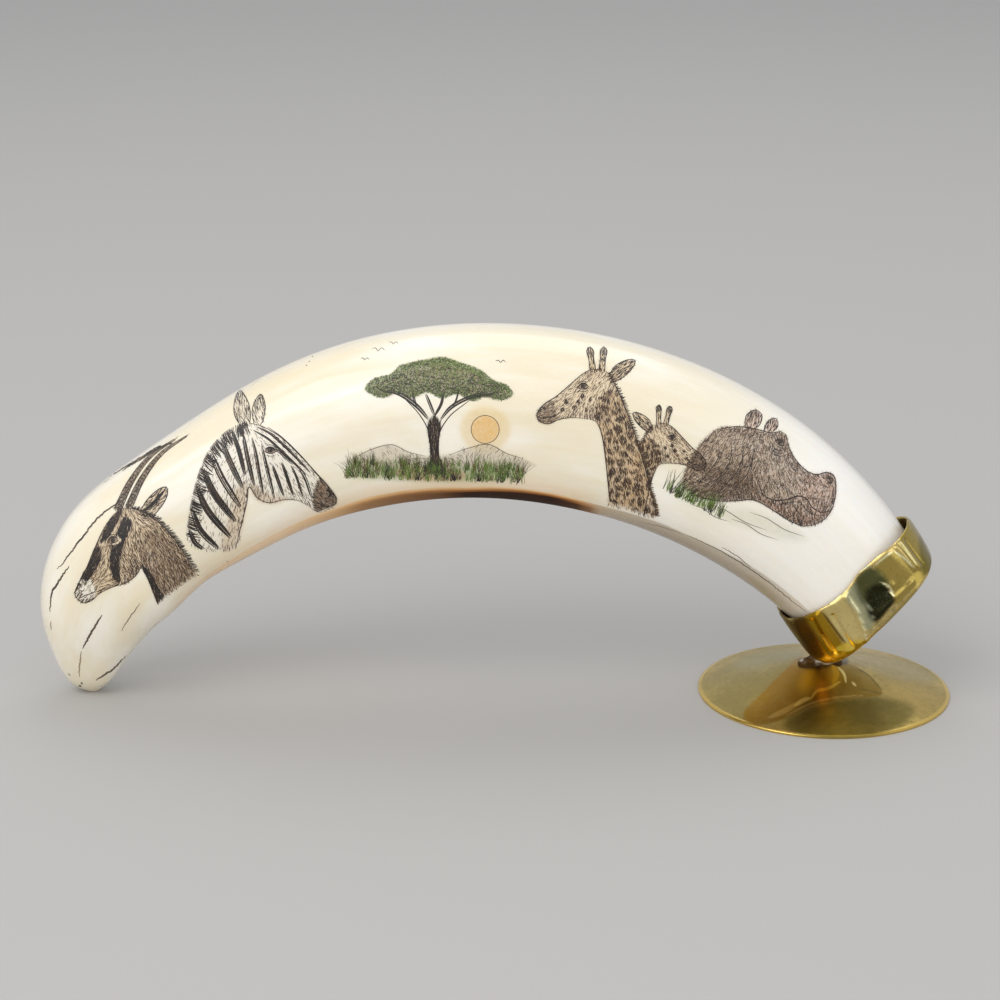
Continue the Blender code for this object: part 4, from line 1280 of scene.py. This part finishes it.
class ORNAMENT_OT_cracks(Operator):
    """Opens the ivory's natural cracks and specks"""

    bl_idname = "ornament.cracks"
    bl_label = "Natural Cracks"

    def execute(self, context):
        tree = tree_of(bpy.data.objects["polished_tusk"])
        marks = Drawing((0, 0), seed=23)
        for path, width, tone in (
            ([(110, 476.5), (121, 469.5), (135, 461), (147, 454.5), (160.5, 447.5), (172, 443)], 5.5, 0.0),
            ([(122, 471), (134, 463), (143, 457.5), (150, 454)], 5.0, 0.0),
            ([(146, 453), (153, 449.5), (161, 445)], 3.5, 0.05), ([(103, 483), (110, 478.5)], 1.3, 0.3),
            ([(126, 498), (114, 505.5), (104, 512.5), (93.5, 523), (83, 536.5), (73, 549), (64, 562), (57, 569)],
                2.1, 0.0),
            ([(69, 566), (57.5, 583), (51.5, 595), (50, 612)], 2.4, 0.1),
            ([(102, 615), (92, 631.5), (82.5, 648.5)], 2.2, 0.0), ([(81.5, 651), (79.8, 664), (79.3, 677)], 1.4, 0.7),
            ([(81.5, 682), (80, 687), (79.5, 690)], 2.6, 0.1), ([(140, 603), (130, 617), (121, 631)], 1.1, 0.4),
            ([(126, 655.5), (114, 668.5), (107, 673), (96, 680.5)], 3.0, 0.25), ([(51, 621), (51, 630)], 1.8, 0.85),
            ([(68, 673), (70.5, 676)], 1.8, 0.55),
            ([(687, 535), (713, 547), (736, 560), (759, 575), (781, 592), (800, 607), (806, 612)], 1.2, 0.2),
            ([(722, 547), (737, 556), (751, 567)], 1.0, 0.25), ([(640, 522), (662, 527), (684, 535)], 0.9, 0.5),
            ([(250, 386), (262, 379)], 0.6, 0.6),
        ):
            line = curved(path)
            line[1:-1] += marks.rng.normal(0, 0.3, (len(line) - 2, 2))
            marks.ink(line, width, tone, smooth=False, taper=0.7)
        for x, y in ((305, 357), (309, 361), (312, 356), (306, 365), (227, 561), (69, 674)):
            marks.ink([(x, y), (x + 0.9, y + 0.7)], 1.2, 0.3, smooth=False, taper=0.2)
        cut_lines("natural_cracks", marks.strokes, tree, crack_material(), 1.0)
        return {"FINISHED"}


def press(points, centre, radius, depth, way):
    """Moves points near a centre by a depth, along a direction for each."""
    near = np.exp(-((points - centre) ** 2).sum(1) / radius**2)
    return way * (near * depth)[:, None]


def press_line(points, line, radius, depth, way):
    """Moves points near a line of places, as a crease or ridge."""
    a, b = line[:-1], line[1:]
    along = b - a
    t = np.clip(((points[:, None] - a) * along).sum(2) / (along**2).sum(1), 0, 1)
    gap = (((points[:, None] - a) - t[..., None] * along) ** 2).sum(2).min(1)
    return way * (np.exp(-gap / radius**2) * depth)[:, None]


def paint_brass_reflections_and_tarnish(mesh, points, patches, streaks):
    """Stores painted reflections, highlights and shade, with some tarnish, laid out in the picture plane as patches and
    streaks, on the brass.
    """
    d = Drawing((0, 0))
    for outline, color, amount, soft in patches:
        d.wash(outline, color, amount, soft)
    for line, width, color, amount in streaks:
        d.streak(line, width, color, amount)
    color, amount = washed(points, vertices(mesh, True), d.washes)
    store(mesh, "reflection_and_tarnish", "FLOAT_COLOR", color)
    store(mesh, "reflection_and_tarnish_amount", "FLOAT", amount)


# Edge of the collar's mouth, in the picture plane
MOUTH_LINE = (
    (774, 606), (780, 613), (788, 618.5), (798, 618), (808, 615), (826, 606), (838, 597.5), (848, 588), (859, 573),
    (869, 564.6), (883, 551), (896, 538), (903, 527), (908, 519),
)
# (place, radius in mm, depth as a share of the deepest dent); below zero is inwards
DENTS = (
    ((872, 594), 3.4, -0.55), ((864, 580), 2.2, -0.3), ((887, 591), 0.9, -0.9), ((892, 586), 0.8, 0.5),
    ((883, 582), 0.7, 0.45), ((903, 566), 2.8, 0.4), ((824, 636), 3.4, 0.35), ((843, 618), 2.6, -0.35),
    ((856, 640), 1.6, 0.4), ((918, 548), 2.4, -0.4), ((806, 634), 1.8, -0.35), ((883, 618), 2.0, 0.35),
    ((848, 652), 1.4, 0.35), ((898, 590), 1.4, -0.25), ((834, 604), 1.6, 0.3),
)
# (line, radius in mm, height as a share of the deepest dent); below zero is a groove
CREASES = (
    (((874, 566), (884, 558), (893, 551)), 0.5, 0.5), (((893, 551), (903, 558), (914, 568)), 0.55, 0.6),
    (((847, 598), (857, 612), (864, 628), (867, 642)), 0.6, 0.7), (((832, 616), (842, 632), (852, 647)), 0.6, -0.5),
    (((898, 540), (908, 553), (919, 567)), 0.6, 0.5), (((903, 538), (913, 550), (923, 563)), 0.6, -0.4),
    (((811, 620), (821, 636), (830, 652)), 0.8, -0.4), (((816, 614), (827, 632), (838, 650)), 0.8, 0.5),
    (((858, 574), (864, 590), (872, 608), (874, 626)), 0.6, -0.4), (((880, 612), (895, 598), (912, 582)), 0.7, 0.35),
)
# Colours of the collar's painted reflections, highlights and shade, and of its tarnish
GOLD_DARK, GOLD_DEEP, GOLD_REFLECTION = (0.085, 0.040, 0.004), (0.36, 0.205, 0.008), (0.86, 0.60, 0.07)
OLIVE, OLIVE_PALE, SHADED_OLIVE = (0.39, 0.29, 0.07), (0.73, 0.59, 0.24), (0.17, 0.14, 0.03)
DENT_SHADOW, GREY_GREEN, SHINE = (0.018, 0.018, 0.007), (0.40, 0.42, 0.27), (1.0, 0.93, 0.55)
# Painted reflections, highlights and shade on the collar, with its tarnish: (outline, colour, amount, softness) in the
# picture plane
COLLAR_REFLECTION_AND_TARNISH_PATCHES = (
    (((818, 608), (832, 602), (848, 590), (858, 608), (866, 632), (866, 645), (856, 650), (844, 642), (832, 626)),
        OLIVE_PALE, 0.8, 4),
    (((876, 566), (894, 551), (914, 568), (923, 578), (908, 594), (896, 604), (884, 582)), OLIVE, 0.8, 4),
    (((905, 522), (912, 520), (931, 556), (932, 566), (918, 584), (912, 566), (899, 541)), OLIVE, 0.85, 5),
    (((920, 535), (932, 556), (932, 568), (924, 574), (920, 556)), SHADED_OLIVE, 0.7, 5),
    (((775, 608), (790, 620), (800, 640), (812, 656), (800, 660), (788, 642), (778, 622)), (0.22, 0.15, 0.05), 0.9, 4),
    (((792, 620), (806, 616), (818, 632), (828, 652), (820, 660), (806, 654), (797, 636)), GOLD_DARK, 0.9, 8),
    (((806, 616), (820, 610), (834, 628), (844, 646), (838, 658), (828, 658), (820, 640)), GOLD_DEEP, 0.9, 8),
    (((834, 650), (848, 642), (864, 640), (866, 650), (852, 658), (838, 661)), GOLD_REFLECTION, 0.75, 4),
    (((846, 598), (856, 582), (864, 602), (874, 620), (868, 630), (856, 612)), GREY_GREEN, 0.75, 4),
    (((855, 580), (868, 568), (880, 571), (890, 586), (884, 600), (872, 606), (861, 602)),
        (0.085, 0.09, 0.035), 0.9, 7),
    (((866, 592), (880, 584), (895, 598), (888, 610), (877, 622), (868, 614)), DENT_SHADOW, 0.97, 5),
    (((870, 642), (893, 614), (916, 588), (919, 591), (892, 622), (868, 648)), OLIVE, 0.7, 3),
)
# Painted highlights and shadows along the creases and in the dent: (line, width, colour, amount) in the picture plane
COLLAR_LIGHT_AND_SHADE_STREAKS = (
    (((822, 612), (834, 628), (846, 644)), 3.0, GOLD_DARK, 0.7),
    (((875, 565), (884, 558), (893, 551)), 2.2, SHINE, 0.8), (((894, 551), (904, 558), (914, 568)), 2.4, SHINE, 0.85),
    (((898, 539), (907, 551), (917, 565)), 1.8, SHINE, 0.6),
    (((849, 598), (858, 612), (864, 628), (867, 642)), 2.2, SHINE, 0.75),
    (((881, 582), (889, 587), (894, 597)), 2.6, SHINE, 0.95),
    (((881, 586), (887, 592), (891, 601)), 3.0, DENT_SHADOW, 0.95),
    (((822, 634), (830, 646), (838, 656)), 2.6, SHINE, 0.7),
    (((858, 573), (866, 567), (874, 566)), 1.6, GREY_GREEN, 0.8),
    (((862, 594), (869, 606), (874, 620)), 1.6, GREY_GREEN, 0.7),
)


class ORNAMENT_OT_collar(Operator):
    """Models the beaten brass collar with its wavy mouth, dents and creases"""

    bl_idname = "ornament.collar"
    bl_label = "Brass Collar"

    def execute(self, context):
        look = context.scene.ornament_collar
        rng = np.random.default_rng(31)
        collar = own_copy("brass_collar", "beaten_collar")
        subdivided(collar, 3)
        mesh = collar.data
        points = vertices(mesh)
        tree = tree_of(collar)

        def found(*line):
            return np.array([hit[0] for hit in onto_surface(tree, np.array(line, float)) if hit])

        # Out of the collar's own axis, so that both faces of the sheet move together
        axis = np.array(MOUTH_WAY)
        spoke = points - np.array(MOUTH_CENTRE)
        depth = -(spoke @ axis)
        spoke += np.outer(depth, axis)
        way = spoke / np.maximum(np.linalg.norm(spoke, axis=1), 1e-6)[:, None]
        deep = look.dent_depth
        front = ease(-points[:, 1], 0.001, 0.006)
        move = np.zeros_like(points)
        for spot, radius, amount in DENTS:
            for centre in found(spot):
                move += press(points, centre, radius * MM, amount * deep, way) * front[:, None]
        for line, radius, amount in CREASES:
            places = found(*line)
            if len(places) > 1:
                move += press_line(points, places, radius * MM, amount * deep, way) * front[:, None]
        # Hammer marks all over, small enough to leave both faces apart
        for _ in range(70):
            centre = points[rng.integers(len(points))]
            move += press(points, centre, rng.uniform(1.2, 3.0) * MM, rng.normal(0, 0.09) * deep, way)
        # The mouth's edge was cut by hand
        move += axis * ((1 - ease(depth, 0.0, 0.0055)) * self.rim_shift(points, spoke, depth, look.rim_wave))[:, None]
        move_vertices(mesh, points + move)
        smooth_by_angle(collar, 40)
        # Painted reflections, highlights and shade, with tarnish, go onto the collar's vertices
        paint_brass_reflections_and_tarnish(mesh, points + move, COLLAR_REFLECTION_AND_TARNISH_PATCHES, COLLAR_LIGHT_AND_SHADE_STREAKS)
        mesh.materials.append(collar_material())
        place(collar, "collar_brass", "brass_collar")
        return {"FINISHED"}

    def rim_shift(self, points, spoke, depth, wave):
        """How far the mouth's edge moves along the collar's axis: to its own line in front, and gently wavy behind."""
        axis = np.array(MOUTH_WAY)
        turn = np.arctan2(-points[:, 1], spoke @ np.array((MOUTH_WAY.z, 0, -MOUTH_WAY.x)))
        rim = np.flatnonzero((np.abs(depth) < 0.0004) & (points[:, 1] < -0.0035))
        line = curved(MOUTH_LINE, step=0.5)
        tries = np.linspace(-0.0035, 0.0035, 141)
        places, shifts = [], []
        for k in rim:
            picture = to_picture(points[k] + np.outer(tries, axis))
            gap = np.sqrt(((picture[:, None] - line) ** 2).sum(2)).min(1)
            if gap.min() < 0.8:
                places.append(turn[k])
                shifts.append(tries[gap.argmin()])
        shift = wave * (np.sin(turn * 2 + 0.4) * 0.5 + np.sin(turn * 3 + 2.1) * 0.4 + np.sin(turn * 7) * 0.1)
        if places:
            order = np.argsort(places)
            known, sizes = np.array(places)[order], np.array(shifts)[order]
            sizes = np.convolve(np.pad(sizes, 4, "edge"), np.ones(9) / 9, "valid")
            near = ease(turn, known[0] - 0.35, known[0]) * (1 - ease(turn, known[-1], known[-1] + 0.35))
            shift = shift * (1 - near) + np.interp(turn, known, sizes) * near
        return shift


# Painted reflections, highlights and shade on the foot: (outline, colour, amount, softness) in the picture plane
FOOT_REFLECTION_AND_SHADE_PATCHES = (
    (((700, 684), (722, 668), (760, 655), (790, 650), (800, 657), (772, 682), (744, 712), (718, 706)),
        (0.34, 0.27, 0.09), 0.7, 8),
    (((735, 660), (770, 650), (800, 648), (800, 656), (770, 664), (742, 670)), (0.40, 0.35, 0.18), 0.6, 6),
    (((801, 658), (785, 670), (765, 690), (743, 714), (757, 725),
        (786, 718), (812, 705), (838, 698), (846, 682), (839, 664)), (0.36, 0.185, 0.006), 0.96, 2.5),
    (((786, 720), (812, 707), (840, 700), (880, 697), (915, 706), (900, 727), (860, 738), (820, 738), (790, 731)),
        (0.16, 0.125, 0.018), 0.85, 9),
    (((838, 663), (847, 663), (869, 675), (882, 694), (852, 697), (838, 697)), (0.30, 0.185, 0.012), 0.9, 2),
    (((880, 665), (915, 670), (940, 688), (946, 700), (925, 716), (905, 704), (884, 692)), (0.38, 0.27, 0.08), 0.6, 10),
    (((850, 655), (880, 656), (915, 666), (935, 680), (900, 680), (872, 670), (852, 662)), (0.44, 0.36, 0.17), 0.65, 7),
    (((806, 672), (822, 668), (838, 668), (838, 682), (822, 690), (806, 696), (800, 684)),
        (0.80, 0.44, 0.015), 0.7, 15),
    (((799, 658), (815, 660), (836, 662), (826, 668), (806, 669), (800, 664)), (0.085, 0.042, 0.012), 0.85, 4),
    (((834, 655), (846, 655), (848, 663), (836, 666)), (0.07, 0.05, 0.02), 0.85, 3),
)
# Painted highlights and dark reflected lines on the foot: (line, width, colour, amount) in the picture plane
FOOT_REFLECTION_STREAKS = (
    (((768, 718), (784, 711), (800, 702)), 5.5, (0.80, 0.52, 0.14), 0.55),
    (((794, 706), (805, 699.5), (811, 698)), 4.5, (1.0, 0.72, 0.2), 0.95),
    (((810, 700), (817, 691), (829, 688), (841, 681)), 3.2, (1.0, 0.70, 0.10), 1.0),
    (((786, 716), (812, 703), (840, 697), (864, 695.5)), 1.8, (0.75, 0.55, 0.2), 0.7),
    (((832, 664), (836, 674), (833, 684)), 6.0, (0.85, 0.50, 0.02), 0.8),
    (((838, 667), (844, 674), (846, 683)), 2.6, (1.0, 0.86, 0.35), 1.0),
    (((852, 682), (856, 686)), 2.4, (1.0, 0.82, 0.4), 0.9),
    (((856, 667), (869, 676), (882, 690)), 1.4, (0.07, 0.05, 0.01), 0.7),
    (((858, 689), (871, 691), (882, 694)), 1.4, (0.07, 0.05, 0.01), 0.6),
)


class ORNAMENT_OT_foot(Operator):
    """Spins the brass foot, a thin cone open underneath"""

    bl_idname = "ornament.foot"
    bl_label = "Brass Foot"

    def execute(self, context):
        look = context.scene.ornament_foot
        run, climb = look.radius - PEAK_RADIUS, look.height - look.edge
        slope = climb / run
        drop = look.wall * math.hypot(1, slope)
        hollow = look.radius - (drop - look.edge) / slope
        # (radius, height) round the rim and up to the peak, then up the hollow under it
        profile = [(look.radius - 0.00012, 0.0), (look.radius, 0.00012)]
        profile += [(look.radius, look.edge - 0.0002), (look.radius - 0.00016, look.edge)]
        for k in range(1, TOP_RINGS + 1):
            profile.append((look.radius - run * k / TOP_RINGS, look.edge + climb * k / TOP_RINGS))
        profile += [(0.0011, look.height + 0.00004)]
        under = [(look.radius - run * k / 6, look.edge - drop + climb * k / 6) for k in range(1, 7)]
        deselect()
        bpy.ops.mesh.primitive_circle_add(vertices=320, radius=hollow, fill_type="NOTHING", location=(*FOOT_AXIS, 0.0))
        foot = context.object
        foot.name = foot.data.name = "spun_foot"
        bpy.ops.object.transform_apply(location=True, rotation=True, scale=True)
        bpy.ops.object.mode_set(mode="EDIT")
        for rings in (profile, under):
            if rings is under:
                bpy.ops.mesh.select_all(action="DESELECT")
                bpy.ops.mesh.select_mode(type="VERT")
                edit = bmesh.from_edit_mesh(foot.data)
                for vertex in edit.verts:
                    where = math.hypot(vertex.co.x - FOOT_AXIS[0], vertex.co.y)
                    vertex.select_set(abs(where - hollow) < 0.00005 and abs(vertex.co.z) < 0.00002)
                edit.select_flush_mode()
                bmesh.update_edit_mesh(foot.data)
                bpy.ops.mesh.select_mode(type="EDGE")
            now, height = hollow, 0.0
            for radius, level in rings:
                bpy.ops.mesh.extrude_edges_move(TRANSFORM_OT_translate={"value": (0, 0, level - height)})
                share = radius / now
                bpy.ops.transform.resize(value=(share, share, 1), center_override=(*FOOT_AXIS, level))
                now, height = radius, level
            bpy.ops.mesh.merge(type="CENTER")
        bpy.ops.mesh.select_all(action="SELECT")
        bpy.ops.mesh.remove_doubles(threshold=0.000001)
        bpy.ops.mesh.normals_make_consistent(inside=False)
        bpy.ops.object.mode_set(mode="OBJECT")
        # A spun sheet is never quite true
        points = vertices(foot.data)
        away = points - np.array((*FOOT_AXIS, 0.0))
        radius = np.linalg.norm(away[:, :2], axis=1)
        turn = np.arctan2(away[:, 1], away[:, 0])
        points[:, 2] += 0.00012 * np.sin(2 * turn + 0.7) * ease(radius, 0.004, 0.016) * (1 - ease(radius, 0.022, 0.030))
        move_vertices(foot.data, points)
        smooth_by_angle(foot, 32)
        # Painted reflections, highlights and shade go onto the foot's vertices
        paint_brass_reflections_and_tarnish(foot.data, points, FOOT_REFLECTION_AND_SHADE_PATCHES, FOOT_REFLECTION_STREAKS)
        foot.data.materials.append(foot_material())
        place(foot, "foot_brass", "brass_foot")
        return {"FINISHED"}


class ORNAMENT_OT_solder(Operator):
    """Heaps the rough solder between the foot and the collar"""

    bl_idname = "ornament.solder"
    bl_label = "Solder Joint"

    def execute(self, context):
        look = context.scene.ornament_foot
        low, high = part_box("solder_joint")
        rng = np.random.default_rng(41)
        bead = own_copy("solder_joint", "solder_bead")
        subdivided(bead, 2)
        bead.data.remesh_voxel_size = 0.00016
        activate(bead)
        bpy.ops.object.voxel_remesh()
        edit_mode()
        bpy.ops.mesh.vertices_smooth(factor=0.5, repeat=2)
        bpy.ops.object.mode_set(mode="OBJECT")
        points, normals = vertices(bead.data), vertices(bead.data, True)
        # It spreads thin over the cone and stands up only under the collar
        away = points[:, :2] - np.array(FOOT_AXIS)
        inwards = look.radius - np.linalg.norm(away, axis=1)
        cone = look.edge + inwards * (look.height - look.edge) / (look.radius - PEAK_RADIUS)
        over = points[:, 2] - cone
        high_up = ease(over, 0.0002, 0.0012)
        points[:, 0] = FOOT_AXIS[0] + away[:, 0] * (1 - 0.28 * ease(over, 0.0006, 0.0024))
        points[:, 1] *= 0.8 - 0.45 * high_up
        points[:, 2] -= np.maximum(over - 0.00004, 0) * (1 - ease(over, 0.0001, 0.0011))
        # It froze in lumps and hollows
        move = np.zeros_like(points)
        for size, reach, count in ((1.1, 0.32, 26), (0.55, 0.2, 70), (0.3, 0.1, 120)):
            for _ in range(count):
                centre = points[rng.integers(len(points))]
                wide = rng.uniform(0.7, 1.2) * size * MM
                deep = rng.uniform(-1.3, 0.7) * reach * MM
                move += press(points, centre, wide, deep, normals)
        points = np.clip(points + move * high_up[:, None], np.array(low) - 0.0002, np.array(high) + 0.0002)
        move_vertices(bead.data, points)
        smooth_by_angle(bead, 60)
        # Bare metal shows at the right end and a little at the left, higher up; lower down, burnt flux and painted
        # shade darken it against the cone
        across = (points[:, 0] - low.x) * 1000
        bright = np.exp(-((across - 7.4) / 1.9) ** 2) + 0.7 * np.exp(-((across - 0.8) / 0.8) ** 2)
        flux_and_shade = 0.85 - 0.85 * bright * ease(points[:, 2], low.z + 0.0003, low.z + 0.0014)
        store(bead.data, "flux_and_shade", "FLOAT", np.clip(flux_and_shade, 0, 1))
        bead.data.materials.append(solder_material())
        place(bead, "solder", "solder_joint")
        return {"FINISHED"}


def soft_light(name, power, size, place_at, aim, color):
    """A square soft light aimed at a point."""
    bpy.ops.object.light_add(type="AREA", location=place_at)
    light = bpy.context.object
    light.name = name
    light.data.energy = power
    light.data.size = size
    light.data.color = color
    light.rotation_euler = (Vector(aim) - Vector(place_at)).to_track_quat("-Z", "Y").to_euler()


class ORNAMENT_OT_stage(Operator):
    """Sets the pale floor, the soft lights and the camera"""

    bl_idname = "ornament.stage"
    bl_label = "Studio Stage"

    def execute(self, context):
        look = context.scene.ornament_studio
        deselect()
        bpy.ops.mesh.primitive_plane_add(size=8, location=(0, 0, 0))
        floor = context.object
        floor.name = "studio_floor"
        material, _, shader = new_material("Studio Floor", Roughness=0.85, Specular_IOR_Level=0.2)
        shader.inputs["Base Color"].default_value = (*look.floor, 1.0)
        floor.data.materials.append(material)
        soft_light("key", look.key, 0.9, (-0.75, -0.75, 1.15), (0, 0, 0.04), (1.0, 0.98, 0.95))
        soft_light("fill", look.fill, 1.2, (1.1, -0.9, 0.6), (0.02, 0, 0.04), (0.96, 0.98, 1.0))
        soft_light("front", look.front, 1.5, (-0.4, -1.45, 0.6), (0, 0, 0.05), (1.0, 0.99, 0.97))
        soft_light("top", look.fill, 0.9, (0.1, 0.55, 1.2), (0, 0, 0.04), (1.0, 1.0, 1.0))
        world = bpy.data.worlds.new("Studio Light")
        world.use_nodes = True
        background = world.node_tree.nodes["Background"]
        background.inputs["Color"].default_value = (0.93, 0.95, 1.0, 1.0)
        background.inputs["Strength"].default_value = look.sky
        context.scene.world = world
        context.scene.view_settings.view_transform = "Standard"
        bpy.ops.object.camera_add(location=look.camera, rotation=(math.pi / 2 - look.pitch, 0, 0))
        camera = context.object
        camera.name = "camera"
        camera.data.lens = look.lens
        camera.data.sensor_width = SENSOR_WIDTH
        camera.data.clip_start = 0.01
        context.scene.camera = camera
        return {"FINISHED"}


class ORNAMENT_PT_pieces(Panel):
    """Lists the ornament's pieces in the sidebar"""

    bl_idname = "ORNAMENT_PT_pieces"
    bl_label = "Tusk Ornament"
    bl_space_type = "VIEW_3D"
    bl_region_type = "UI"
    bl_category = "Ornament"

    def draw(self, context):
        for operator, settings in PIECES:
            box = self.layout.box()
            box.operator(operator.bl_idname)
            group = getattr(context.scene, settings)
            for name in group.bl_rna.properties.keys():
                if name not in ("rna_type", "name"):
                    box.prop(group, name)


SETTINGS = {
    "ornament_tusk": TuskFinish, "ornament_frieze": FriezeFinish, "ornament_collar": CollarFinish,
    "ornament_foot": FootFinish, "ornament_studio": StudioFinish,
}
PIECES = (
    (ORNAMENT_OT_tusk, "ornament_tusk"), (ORNAMENT_OT_frieze, "ornament_frieze"), (ORNAMENT_OT_cracks, "ornament_tusk"),
    (ORNAMENT_OT_collar, "ornament_collar"), (ORNAMENT_OT_foot, "ornament_foot"), (ORNAMENT_OT_solder, "ornament_foot"),
    (ORNAMENT_OT_stage, "ornament_studio"),
)


def register():
    for group in SETTINGS.values():
        bpy.utils.register_class(group)
    for name, group in SETTINGS.items():
        setattr(bpy.types.Scene, name, PointerProperty(type=group))
    for operator, _ in PIECES:
        bpy.utils.register_class(operator)
    bpy.utils.register_class(ORNAMENT_PT_pieces)


def unregister():
    bpy.utils.unregister_class(ORNAMENT_PT_pieces)
    for operator, _ in reversed(PIECES):
        bpy.utils.unregister_class(operator)
    for name in SETTINGS:
        delattr(bpy.types.Scene, name)
    for group in reversed(SETTINGS.values()):
        bpy.utils.unregister_class(group)


def main():
    """Builds every piece."""
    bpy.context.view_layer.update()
    register()
    bpy.ops.ornament.stage()
    bpy.ops.ornament.tusk()
    bpy.ops.ornament.frieze()
    bpy.ops.ornament.cracks()
    bpy.ops.ornament.collar()
    bpy.ops.ornament.foot()
    bpy.ops.ornament.solder()


if __name__ == "__main__":
    main()
